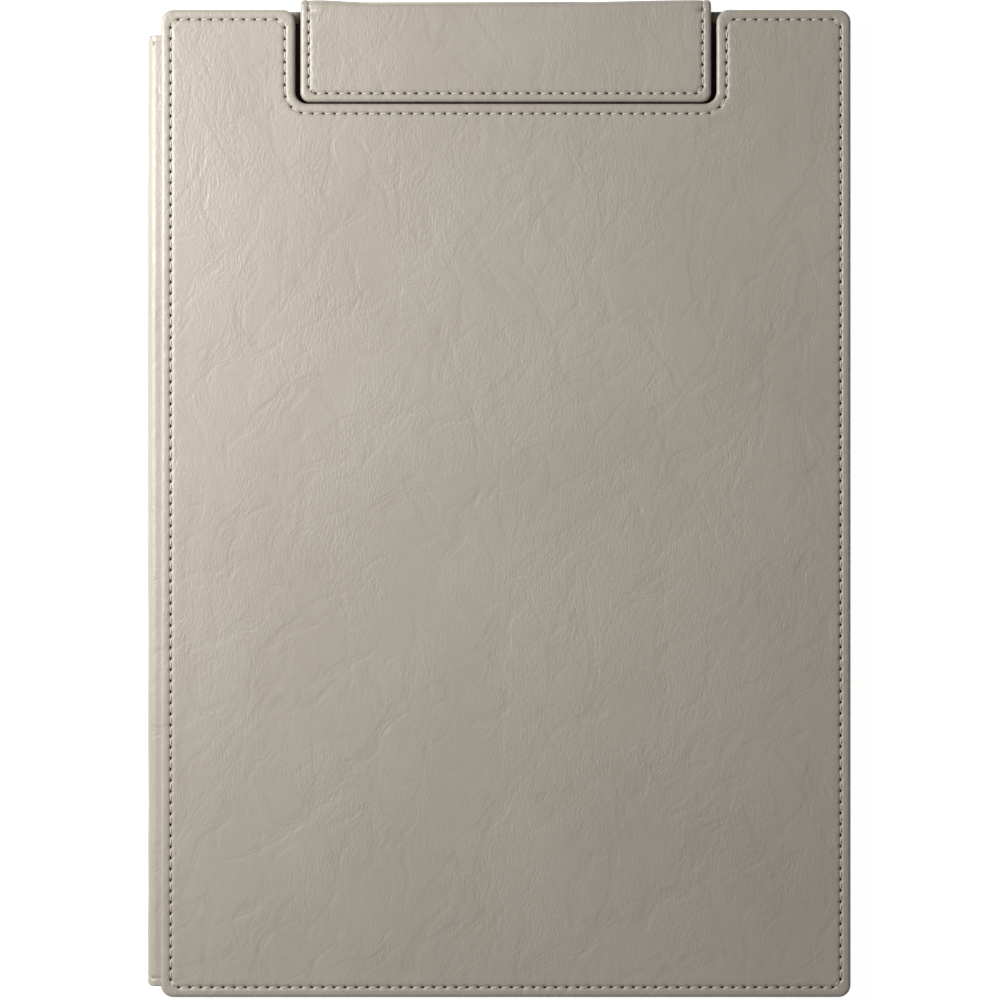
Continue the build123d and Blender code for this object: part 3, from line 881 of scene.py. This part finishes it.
def fold_leather():
    """The outer leather of the fold. Its section runs across: a rolled edge, the seam's furrow, the middle, and the
    same mirrored, closed by the hems below. Its holes go on from the flap's, one stitch apart."""
    path, normals, length = fold_path(0)
    rolled = arc(15, 90, 6)[::-1]
    face_depth = skin_profile(FLAP_T, FLAP_SEAM, 1.9 * MM)[0]
    side_depth = np.concatenate([EDGE_R * (1 - np.sin(rolled)), face_depth[::-1]])
    side_height = np.concatenate([EDGE_R * (np.cos(rolled) - 1), np.zeros(len(face_depth))])
    x_left = side_depth - FLAP_HALF_W
    x_face = np.concatenate([x_left, end_x[1:-1], -x_left[::-1]])
    edge_height = np.concatenate([side_height, np.zeros(len(end_x) - 2), side_height[::-1]])
    under_x = np.array([0, 0.15, 1.5, 1.5]) * MM
    under_height = np.array([-1.1, -1.2, -1.2, -0.6]) * MM
    x = np.concatenate([x_face, FLAP_HALF_W - under_x, (under_x - FLAP_HALF_W)[::-1]])
    section = np.concatenate([edge_height, under_height, under_height[::-1]])
    grid_x, grid_l = np.meshgrid(np.abs(x_face), length)
    row_of_holes = np.arange(0.5, length[-1] / PITCH) * PITCH
    holes = np.column_stack([np.full(len(row_of_holes), FLAP_HALF_W - FLAP_SEAM), row_of_holes])
    seam = {"holes": holes, "closed": False, "inset": FLAP_SEAM}
    flat = np.column_stack([grid_x.ravel(), grid_l.ravel()])
    sewn, hole = sewn_face(flat, FLAP_HALF_W - flat[:, 0], seam, waves=0)
    height = np.repeat(section[None], len(path), axis=0)
    height[:, :len(x_face)] += sewn.reshape(grid_x.shape)
    standing = np.clip(normals[:, 0], 0, 1)[:, None]
    out_of_panel = smoothstep(path[:, 0], TOP - 0.5 * MM, TOP + 1.0 * MM)[:, None]
    height += fold_swell(x)[None] * standing * out_of_panel
    mark, roll = np.zeros_like(height), np.zeros_like(height)
    mark[:, :len(x_face)] = hole.reshape(grid_x.shape)
    roll[:, :len(x_face)] = bell(FLAP_HALF_W - grid_x, 1.2 * MM)
    return strap("clip_fold_leather", path, normals, np.repeat(x[None], len(path), axis=0), height, across_flap,
                 {"hole": mark, "roll": roll})


fold = fold_leather()
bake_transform(fold)
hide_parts("clip_skin")
leather_pieces.append(fold)
print("fold stands", round((FOLD_OUT - TOP) / MM, 1), "mm past the panels before it swells")

# %% [markdown]
# ## The clip's inner leather
# A second, black leather lies inside the fold and under the flap, where it shows when the clip is open. Inside the
# fold it takes the outer leather's path, one skin's thickness further in. Under the flap it is a strap round one
# corner, turned up over the ends of the boards.

# %% The flap's lining and the fold's lining
def fold_lining():
    """The inner leather of the fold, between the turned edges of the outer one."""
    path, normals, _ = fold_path(SKIN_T)
    half = FLAP_HALF_W - 1.5 * MM
    x_face = np.linspace(-half, half, 60)
    x = np.concatenate([x_face, x_face[::-1]])
    base = np.concatenate([np.zeros(60), np.full(60, -SKIN_T)])
    height = np.repeat(base[None], len(path), axis=0)
    standing = np.clip(normals[:, 0], 0, 1)[:, None]
    out_of_panel = smoothstep(path[:, 0], TOP - 0.5 * MM, TOP + 1.0 * MM)[:, None]
    height += fold_swell(x)[None] * standing * out_of_panel
    return strap("clip_fold_lining", path, normals, np.repeat(x[None], len(path), axis=0), height, across_flap)


def flap_underside():
    """The lining under the flap, turned up over the ends of its boards: a strap round one corner."""
    lower = FACE_Z - FLAP_T
    corners = [(FLAP_LOW + 1.5 * MM, lower), (FLAP_END + SKIN_T, lower), (FLAP_END + SKIN_T, FACE_Z - SKIN_T)]
    path, normals, length = bent_path([(y, -z) for y, z in corners], [0.7 * MM], 1.2 * MM)
    path, normals = path * np.array([1, -1]), normals * np.array([1, -1])
    half = FLAP_HALF_W - 1.5 * MM
    x_face = np.linspace(-half, half, 90)
    x = np.concatenate([x_face, x_face[::-1]])
    base = np.concatenate([np.zeros(90), np.full(90, -0.5 * MM)])
    corner_r = 1.6 * MM
    rise = np.clip(corner_r - length, 0, None)
    width = 1 - (corner_r - np.sqrt(np.clip(corner_r ** 2 - rise ** 2, 0, None))) / half
    height = np.repeat(base[None], len(path), axis=0)
    seam_dip = 0.12 * MM * (bell(np.abs(x) - (FLAP_HALF_W - FLAP_SEAM), 0.3 * MM) * (base == 0))[None]
    foot_dip = 0.12 * MM * bell(path[:, 0] - FLAP_LOW - FLAP_SEAM, 0.3 * MM)[:, None] * (base == 0)[None]
    height = height - np.maximum(seam_dip, foot_dip)
    return strap("clip_underside_lining", path, normals, x[None] * width[:, None], height, across_flap)


inner_fold = fold_lining()
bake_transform(inner_fold)
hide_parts("clip_lining")
underside = flap_underside()
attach(underside, "clip_flap")
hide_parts("clip_lining")
lining_pieces += [inner_fold, underside]
print("clip's inner leather", len(inner_fold.data.polygons), "and", len(underside.data.polygons), "faces")

# %% [markdown]
# ## The clip's stitches
# The flap is sewn on three sides, and its side seams go on over the fold. One piece could hold them all, but the
# flap is stiff and the fold bends. So the flap's stitches ride with it, and those on the fold are a piece of their
# own.

# %% The flap's stitches
TAIL_BARE = 8.0 * MM                         # the seam ends this far before the tail does


def fold_stitches():
    """The flap's two side seams, going on over the fold down to the back panel."""
    path, normals, length = fold_path(0, 0.2 * MM)
    marks = np.arange(-0.5, (length[-1] - TAIL_BARE) / PITCH) * PITCH
    y, z = (np.interp(marks, length, path[:, k]) for k in (0, 1))
    y += np.minimum(marks, 0)
    middle = (marks[:-1] + marks[1:]) / 2
    out = np.stack([np.interp(middle, length, normals[:, k]) for k in (0, 1)], axis=1)
    out /= np.linalg.norm(out, axis=1, keepdims=True)
    starts, ends, ups = [], [], []
    for side in (-1, 1):
        x = np.full(len(y), side * (FLAP_HALF_W - FLAP_SEAM))
        swell = fold_swell(x)
        ny = np.interp(marks, length, np.clip(normals[:, 0], 0, 1))
        spot = np.column_stack([x, y + swell * ny, z])
        starts.append(spot[:-1])
        ends.append(spot[1:])
        ups.append(np.column_stack([np.zeros(len(out)), out]))
    return stitches("clip_fold_stitches", np.concatenate(starts), np.concatenate(ends), np.concatenate(ups),
                    0.16 * MM, slant=0.08 * MM, reach=(0.08, 0.96))


def on_flap_underside(points):
    """Turn points over, onto the lining below the flap."""
    return points * np.array([1, 1, -1]) + np.array([0, 0, FACE_Z - FLAP_T])


starts, ends = seam_stitches(flap_edge, face_up, 0)
clip_stitches = stitches("clip_flap_stitches", starts, ends, up_rows(starts, 1), 0.14 * MM)
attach(clip_stitches, "clip_flap")
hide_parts("clip_seam_thread")
starts, ends = seam_stitches(flap_edge, on_flap_underside, 0)
clip_under_stitches = stitches("clip_under_stitches", starts, ends, up_rows(starts, -1), 0.08 * MM)
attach(clip_under_stitches, "clip_flap")
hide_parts("clip_seam_thread")
over_fold = fold_stitches()
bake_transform(over_fold)
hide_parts("clip_seam_thread")
print("flap", round(2 * FLAP_HALF_W / MM, 1), "mm wide,", round((FLAP_END - FLAP_LOW) / MM, 1), "mm deep")

leather_pieces += [cover_leather, back_leather]
lining_pieces += [cover_inner, back_inner, pocket]

# %% [markdown]
# ## Finishes
# Each finish is built from shader nodes on Object coordinates, which are metres on the real thing, so every size
# below is a true one. Three helpers keep the node code short: one adds a node and fills its inputs, one does
# arithmetic, and one stretches and turns the coordinates so that a noise cell gets a length and a width.

# %% Node helpers
def new_material(name):
    """An empty node material with its output node."""
    material = bpy.data.materials.new(name)
    material.use_nodes = True
    material.node_tree.nodes.clear()
    return material, material.node_tree


def add(tree, kind, inputs=None, **settings):
    """Add a node. Settings are its properties; inputs are values, or sockets to link, by input name or number."""
    node = tree.nodes.new(kind)
    for key, value in settings.items():
        setattr(node, key, value)
    for key, value in (inputs or {}).items():
        if isinstance(value, bpy.types.NodeSocket):
            tree.links.new(value, node.inputs[key])
        else:
            node.inputs[key].default_value = value
    return node


def maths(tree, operation, *values):
    """The result of a Math node."""
    return add(tree, "ShaderNodeMath", dict(enumerate(values)), operation=operation).outputs[0]


def ramp(tree, value, low, high, to_low=0.0, to_high=1.0):
    """A smooth step of a value from low..high to to_low..to_high."""
    inputs = {"Value": value, "From Min": low, "From Max": high, "To Min": to_low, "To Max": to_high}
    return add(tree, "ShaderNodeMapRange", inputs, interpolation_type="SMOOTHSTEP").outputs["Result"]


def cells(tree, coordinates, size, turn=0.0):
    """Coordinates turned about Z by degrees and measured in cells of the given length, width and height."""
    inputs = {"Vector": coordinates, "Rotation": (0, 0, math.radians(turn)), "Scale": [s * MM for s in size]}
    return add(tree, "ShaderNodeMapping", inputs, vector_type="TEXTURE").outputs["Vector"]


def noise(tree, vector, detail=2.0, roughness=0.5, output="Fac"):
    """Noise with one cell to a unit of its vector."""
    inputs = {"Vector": vector, "Scale": 1.0, "Detail": detail, "Roughness": roughness}
    return add(tree, "ShaderNodeTexNoise", inputs).outputs[output]


def object_coordinates(tree):
    """The coordinates every pattern starts from."""
    return add(tree, "ShaderNodeTexCoord").outputs["Object"]


def wander(tree, coordinates, size, amount):
    """Push coordinates about by a slow noise, so that straight patterns wander: p + amount * (noise - 0.5)."""
    drift = noise(tree, cells(tree, coordinates, size), 1.0, output="Color")
    centred = add(tree, "ShaderNodeVectorMath", {0: drift, 1: (0.5, 0.5, 0.5)}, operation="SUBTRACT").outputs[0]
    scaled = add(tree, "ShaderNodeVectorMath", {0: centred, "Scale": amount * MM}, operation="SCALE").outputs[0]
    return add(tree, "ShaderNodeVectorMath", {0: coordinates, 1: scaled}, operation="ADD").outputs[0]


def ridges(tree, value, width):
    """Lines where a noise crosses one half: a smooth step down from 1 as |2 n - 1| goes from 0 to width. The step's
    flat start keeps each crest round, and a noise without detail keeps its lines whole."""
    apart = maths(tree, "ABSOLUTE", maths(tree, "MULTIPLY_ADD", value, 2.0, -1.0))
    return ramp(tree, apart, 0.0, width, 1.0, 0.0)


def mix_colour(tree, factor, first, second):
    """A colour between two, by a factor."""
    node = add(tree, "ShaderNodeMix", {"Factor": factor}, data_type="RGBA")
    for key, value in (("A", first), ("B", second)):
        socket = next(s for s in node.inputs if s.name == key and s.type == "RGBA")
        if isinstance(value, bpy.types.NodeSocket):
            tree.links.new(value, socket)
        else:
            socket.default_value = (*value, 1)
    return next(s for s in node.outputs if s.type == "RGBA")


def surface(tree, colour, roughness, height=None, **settings):
    """A Principled surface, with a height in metres as its bump. The bump's filter is a whole pixel wide, because a
    narrower one picks up grains that are too fine for the picture."""
    inputs = {"Base Color": colour, "Roughness": roughness}
    inputs.update({key.replace("_", " "): value for key, value in settings.items()})
    if height is not None:
        bump = {"Height": height, "Distance": 1.0, "Filter Width": 1.0}
        inputs["Normal"] = add(tree, "ShaderNodeBump", bump).outputs["Normal"]
    shader = add(tree, "ShaderNodeBsdfPrincipled", inputs)
    add(tree, "ShaderNodeOutputMaterial", {"Surface": shader.outputs[0]})


# %% [markdown]
# ## The greige leather
# The real finish is a satin coat over pressed grain. Close up it shows three things: short wrinkles that run up
# and down the folder and fade in and out, a few bundles of slanting creases, and a very fine pore grain. Each is
# a noise in cells of its own size, and slow masks decide where it shows; the creases are also painted a little
# darker, as painted shade. The holes and the rolled edges come from the marks stored on the mesh, because no noise
# can know where the needle went, and the holes are painted near black, as painted shade in the pits.

# %% Greige leather
WRINKLE, WRINKLE_HEIGHT = (0.62, 2.0, 1.0), 0.135 * MM      # cell across, along and through in mm, and relief
PORE, PORE_HEIGHT = (0.38, 0.46, 0.40), 0.012 * MM
CREASE, CREASE_PATCH, CREASE_HEIGHT = (5.5, 0.85, 4), (30, 6.5, 20), -0.07 * MM
BUNDLES = ((30, 0.0, 0.55), (55, 0.13, 0.56), (-62, 0.31, 0.57), (85, 0.77, 0.56))   # turn, shift, threshold


def leather_creases(tree, coordinates, turn, shift, threshold):
    """A bundle of creases at an angle, as a long narrow noise that shows only inside rare long patches."""
    moved = add(tree, "ShaderNodeVectorMath", {0: coordinates, 1: (shift, shift, 0)}, operation="ADD").outputs[0]
    lines = noise(tree, cells(tree, moved, CREASE, turn), 1.0)
    patch = ramp(tree, noise(tree, cells(tree, moved, CREASE_PATCH, turn), 1.0), threshold, threshold + 0.12)
    return maths(tree, "MULTIPLY", lines, patch)


def make_leather():
    """Satin greige leather with wrinkles, creases, pores, needle holes and burnished edges, with painted shade in the
    creases and the holes.
    """
    material, tree = new_material("greige_leather")
    place = object_coordinates(tree)
    wandering = wander(tree, wander(tree, place, (14, 14, 14), 9.0), (4.5, 4.5, 4.5), 1.5)
    where = ramp(tree, noise(tree, cells(tree, place, (22, 34, 30)), 2.0), 0.36, 0.62, 0.30, 1.0)
    wrinkles = noise(tree, cells(tree, wandering, WRINKLE), 2.0, 0.5)
    pores = noise(tree, cells(tree, place, PORE), 1.0)
    slow = wander(tree, place, (16, 16, 16), 11.0)
    creases = leather_creases(tree, slow, *BUNDLES[0])
    for bundle in BUNDLES[1:]:
        creases = maths(tree, "ADD", creases, leather_creases(tree, slow, *bundle))
    height = maths(tree, "MULTIPLY", maths(tree, "MULTIPLY", wrinkles, where), WRINKLE_HEIGHT)
    height = maths(tree, "MULTIPLY_ADD", pores, PORE_HEIGHT, height)
    height = maths(tree, "MULTIPLY_ADD", creases, CREASE_HEIGHT, height)
    hole = add(tree, "ShaderNodeAttribute", attribute_name="hole").outputs["Fac"]
    roll = add(tree, "ShaderNodeAttribute", attribute_name="roll").outputs["Fac"]
    mottle = noise(tree, cells(tree, place, (48, 60, 48)), 3.0)
    colour = mix_colour(tree, ramp(tree, mottle, 0.3, 0.7), (0.440, 0.393, 0.328), (0.468, 0.421, 0.353))
    # Painted shade: the creases are painted up to a tenth of the way towards a darker brown.
    colour = mix_colour(tree, maths(tree, "MULTIPLY", creases, 0.10), colour, (0.36, 0.31, 0.25))
    # Painted shade: the needle holes are painted near black, for the shade inside the pits.
    colour = mix_colour(tree, ramp(tree, hole, 0.36, 0.64), colour, (0.003, 0.0027, 0.0024))
    gloss = ramp(tree, noise(tree, cells(tree, place, (3, 5, 4)), 3.0), 0.3, 0.7, 0.44, 0.52)
    gloss = maths(tree, "MULTIPLY_ADD", roll, -0.07, gloss)
    gloss = maths(tree, "MULTIPLY_ADD", ramp(tree, hole, 0.3, 0.7), 0.4, gloss)
    surface(tree, colour, gloss, height, Specular_IOR_Level=1.0)
    return material


# %% [markdown]
# ## Lining, thread and the hidden materials
# The lining is black with a fine pebble grain, which cells of a Voronoi pattern give. Thread is two twisted
# strands, so its bump is stripes on the UV map that climb round the stitch, and its colour has the same stripes
# as painted shade between the strands and painted light on them. The hidden pieces are grey board, spring-hard
# plastic, bare steel and nickel; they show on a bench, when a piece is taken out.

# %% Lining and thread
def make_lining():
    """Black grained lining: pebbles from Voronoi distance, with a faint wear in its gloss."""
    material, tree = new_material("black_lining")
    place = object_coordinates(tree)
    vector = cells(tree, wander(tree, place, (2, 2, 2), 0.5), (0.62, 0.62, 0.62))
    pebbles = add(tree, "ShaderNodeTexVoronoi", {"Vector": vector, "Scale": 1.0}).outputs["Distance"]
    rubbed = noise(tree, cells(tree, place, (30, 30, 30)), 3.0)
    colour = mix_colour(tree, ramp(tree, rubbed, 0.3, 0.7), (0.016, 0.016, 0.018), (0.024, 0.024, 0.026))
    height = maths(tree, "MULTIPLY", maths(tree, "SMOOTH_MIN", pebbles, 0.6, 0.2), -0.05 * MM)
    surface(tree, colour, ramp(tree, rubbed, 0.3, 0.7, 0.50, 0.62), height)
    return material


def make_thread(name, dark, light):
    """Twisted thread: stripes of 9 u + v on the UV map, where u runs along a stitch and v round it. The dark stripes
    are painted shade between the strands, and the light ones painted light on them.
    """
    material, tree = new_material(name)
    split = add(tree, "ShaderNodeSeparateXYZ", {0: add(tree, "ShaderNodeUVMap").outputs["UV"]})
    turns = maths(tree, "MULTIPLY_ADD", split.outputs["X"], 9.0, split.outputs["Y"])
    strands = maths(tree, "SINE", maths(tree, "MULTIPLY", turns, 2 * math.pi))
    strands = maths(tree, "MULTIPLY_ADD", strands, 0.5, 0.5)
    fluff = noise(tree, cells(tree, object_coordinates(tree), (0.12, 0.12, 0.12)), 2.0)
    # Painted shade and light: the thread's one colour is striped darker and lighter along the twist of its strands.
    colour = mix_colour(tree, strands, dark, light)
    height = maths(tree, "MULTIPLY_ADD", strands, 0.02 * MM, maths(tree, "MULTIPLY", fluff, 0.02 * MM))
    surface(tree, colour, ramp(tree, fluff, 0.3, 0.7, 0.55, 0.75), height)
    return material


# %% Board, plastic and metal
def make_board():
    """Grey board: short pale and dark fibres in all directions over a warm grey."""
    material, tree = new_material("grey_board")
    place = object_coordinates(tree)
    fibres = maths(tree, "MAXIMUM", ridges(tree, noise(tree, cells(tree, place, (2.4, 0.35, 1), 25), 0.0), 0.2),
                   ridges(tree, noise(tree, cells(tree, place, (2.1, 0.3, 1), -50), 0.0), 0.2))
    specks = noise(tree, cells(tree, place, (0.8, 0.8, 0.8)), 4.0, 0.7)
    colour = mix_colour(tree, ramp(tree, specks, 0.35, 0.65), (0.30, 0.275, 0.24), (0.42, 0.39, 0.345))
    colour = mix_colour(tree, maths(tree, "MULTIPLY", fibres, 0.35), colour, (0.58, 0.55, 0.50))
    height = maths(tree, "MULTIPLY_ADD", fibres, 0.02 * MM, maths(tree, "MULTIPLY", specks, 0.03 * MM))
    surface(tree, colour, ramp(tree, specks, 0.3, 0.7, 0.82, 0.95), height)
    return material


def make_metal(name, colour, along, scratch, rough):
    """Rolled or plated metal: long fine lines in its bump, cloudy gloss and faint stains."""
    material, tree = new_material(name)
    place = object_coordinates(tree)
    lines = noise(tree, cells(tree, place, (along, 0.12, 0.3)), 3.0, 0.6)
    clouds = noise(tree, cells(tree, place, (9, 9, 4)), 4.0)
    darker = tuple(0.82 * c for c in colour)
    tint = mix_colour(tree, ramp(tree, clouds, 0.3, 0.7), darker, colour)
    gloss = ramp(tree, clouds, 0.3, 0.7, rough, rough + 0.12)
    surface(tree, tint, gloss, maths(tree, "MULTIPLY", lines, scratch * MM), Metallic=1.0)
    return material


def make_core():
    """Grey plastic strip with faint extrusion lines."""
    material, tree = new_material("stiffener_plastic")
    place = object_coordinates(tree)
    lines = noise(tree, cells(tree, place, (0.25, 40, 0.25)), 2.0)
    colour = mix_colour(tree, ramp(tree, lines, 0.3, 0.7), (0.24, 0.24, 0.25), (0.31, 0.31, 0.32))
    surface(tree, colour, ramp(tree, lines, 0.3, 0.7, 0.35, 0.45), maths(tree, "MULTIPLY", lines, 0.01 * MM))
    return material


# %% [markdown]
# ## Dressing the pieces
# A material goes on a new piece as its only one. A imported piece keeps its mesh and gets the finish in the slot it
# already has.

# %% Assign the finishes
def dress(pieces, material):
    """Give pieces their finish."""
    for piece in pieces:
        piece.data.materials.append(material)
    print(material.name, "on", ", ".join(piece.name for piece in pieces))


outer_threads = [cover_stitches, back_stitches, clip_stitches, over_fold] + spine_stitches
inner_threads = [back_inner_stitches, cover_inner_stitches, pocket_stitches, clip_under_stitches]
dress(leather_pieces, make_leather())
dress(lining_pieces, make_lining())
dress(outer_threads, make_thread("greige_thread", (0.50, 0.46, 0.40), (0.82, 0.79, 0.72)))
dress(inner_threads, make_thread("black_thread", (0.012, 0.012, 0.014), (0.035, 0.035, 0.038)))

board = make_board()
hidden = {"back_board": board, "cover_board": board, "clip_stiffener": board, "magnet_carrier": board,
          "keeper_plate": make_metal("bare_steel", (0.56, 0.56, 0.57), 12, 0.006, 0.32),
          "clip_magnets": make_metal("nickel", (0.72, 0.70, 0.66), 3, 0.002, 0.14), "spine_core": make_core()}
for node, material in hidden.items():
    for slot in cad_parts[node].material_slots:
        slot.material = material
print("hidden pieces dressed:", ", ".join(hidden))

# %% [markdown]
# ## Floor, light and camera
# The folder lies on a pale floor under one broad soft lamp at the upper left, low enough that the leather's satin
# gloss fades from the lit corner to the far one. A camera sees the floor as white: Light Path tells the shader
# which rays come straight from the camera, and those get a plain glow on top of the lit floor, which still
# darkens where the folder shades it.

# %% Floor and backdrop
def make_floor():
    """Pale matt floor that the camera, and anything glossy or clear, sees as white where it is lit."""
    material, tree = new_material("pale_floor")
    lit = add(tree, "ShaderNodeBsdfDiffuse", {"Color": (0.55, 0.55, 0.55, 1)}).outputs[0]
    glow = add(tree, "ShaderNodeEmission", {"Color": (1, 1, 1, 1), "Strength": 0.93}).outputs[0]
    both = add(tree, "ShaderNodeAddShader", {0: lit, 1: glow}).outputs[0]
    path = add(tree, "ShaderNodeLightPath").outputs
    seen = maths(tree, "MAXIMUM", maths(tree, "MAXIMUM", path["Is Camera Ray"], path["Is Glossy Ray"]),
                 path["Is Transmission Ray"])
    chosen = add(tree, "ShaderNodeMixShader", {0: seen, 1: lit, 2: both})
    add(tree, "ShaderNodeOutputMaterial", {"Surface": chosen.outputs[0]})
    return material


def make_world():
    """A weak even fill, seen as white by the camera."""
    world = bpy.data.worlds.new("studio")
    world.use_nodes = True
    tree = world.node_tree
    tree.nodes.clear()
    path = add(tree, "ShaderNodeLightPath").outputs
    strength = maths(tree, "MULTIPLY_ADD", path["Is Camera Ray"], 1.0 - FILL, FILL)
    shader = add(tree, "ShaderNodeBackground", {"Color": (1, 1, 1, 1), "Strength": strength})
    add(tree, "ShaderNodeOutputWorld", {"Surface": shader.outputs[0]})
    return world


FILL = 0.12
FLOOR_HALF = 2.0
FLOOR_Z = -0.05 * MM
corners = np.array([(-1, -1), (1, -1), (1, 1), (-1, 1)]) * FLOOR_HALF
floor = new_piece("floor", np.column_stack([corners, np.full(4, FLOOR_Z)]), [[np.arange(4)]], recalculate=False)
floor.data.materials.append(make_floor())
bpy.context.scene.world = make_world()
print("floor", 2 * FLOOR_HALF, "m wide, fill light", FILL)

# %% Lamp and camera
def aimed(name, data, place, target):
    """Link a lamp or camera at a place, with its -Z axis towards the target."""
    item = bpy.data.objects.new(name, data)
    bpy.context.scene.collection.objects.link(item)
    item.location = place
    item.rotation_euler = (Vector(target) - Vector(place)).to_track_quat("-Z", "Y").to_euler()
    return item


def area_lamp(name, place, target, width, height, watts):
    """A soft rectangular lamp."""
    data = bpy.data.lights.new(name, "AREA")
    data.shape, data.size, data.size_y, data.energy = "RECTANGLE", width, height, watts
    return aimed(name, data, place, target)


KEY_PLACE = (-0.41, 0.18, 0.39)              # upper left of the picture, low enough to rake the leather
KEY_SIZE, KEY_WATTS = 0.28, 4.17
area_lamp("key", KEY_PLACE, (0.0, 0.0, 0.0), KEY_SIZE, KEY_SIZE, KEY_WATTS)

VIEW_WIDTH = 0.3188                          # what the picture spans at the cover's face
CAMERA_HEIGHT = 1.30                         # above the cover's face
CENTRE_X, CENTRE_Y = -1.85 * MM, 1.1 * MM
lens = bpy.data.cameras.new("camera")
lens.sensor_width = 36.0
lens.lens = lens.sensor_width * CAMERA_HEIGHT / VIEW_WIDTH
camera = bpy.data.objects.new("camera", lens)
bpy.context.scene.collection.objects.link(camera)
camera.location = (CENTRE_X, CENTRE_Y, FACE_Z + CAMERA_HEIGHT)
bpy.context.scene.camera = camera
bpy.context.scene.view_settings.view_transform = "Standard"
print("lens", round(lens.lens, 1), "mm")
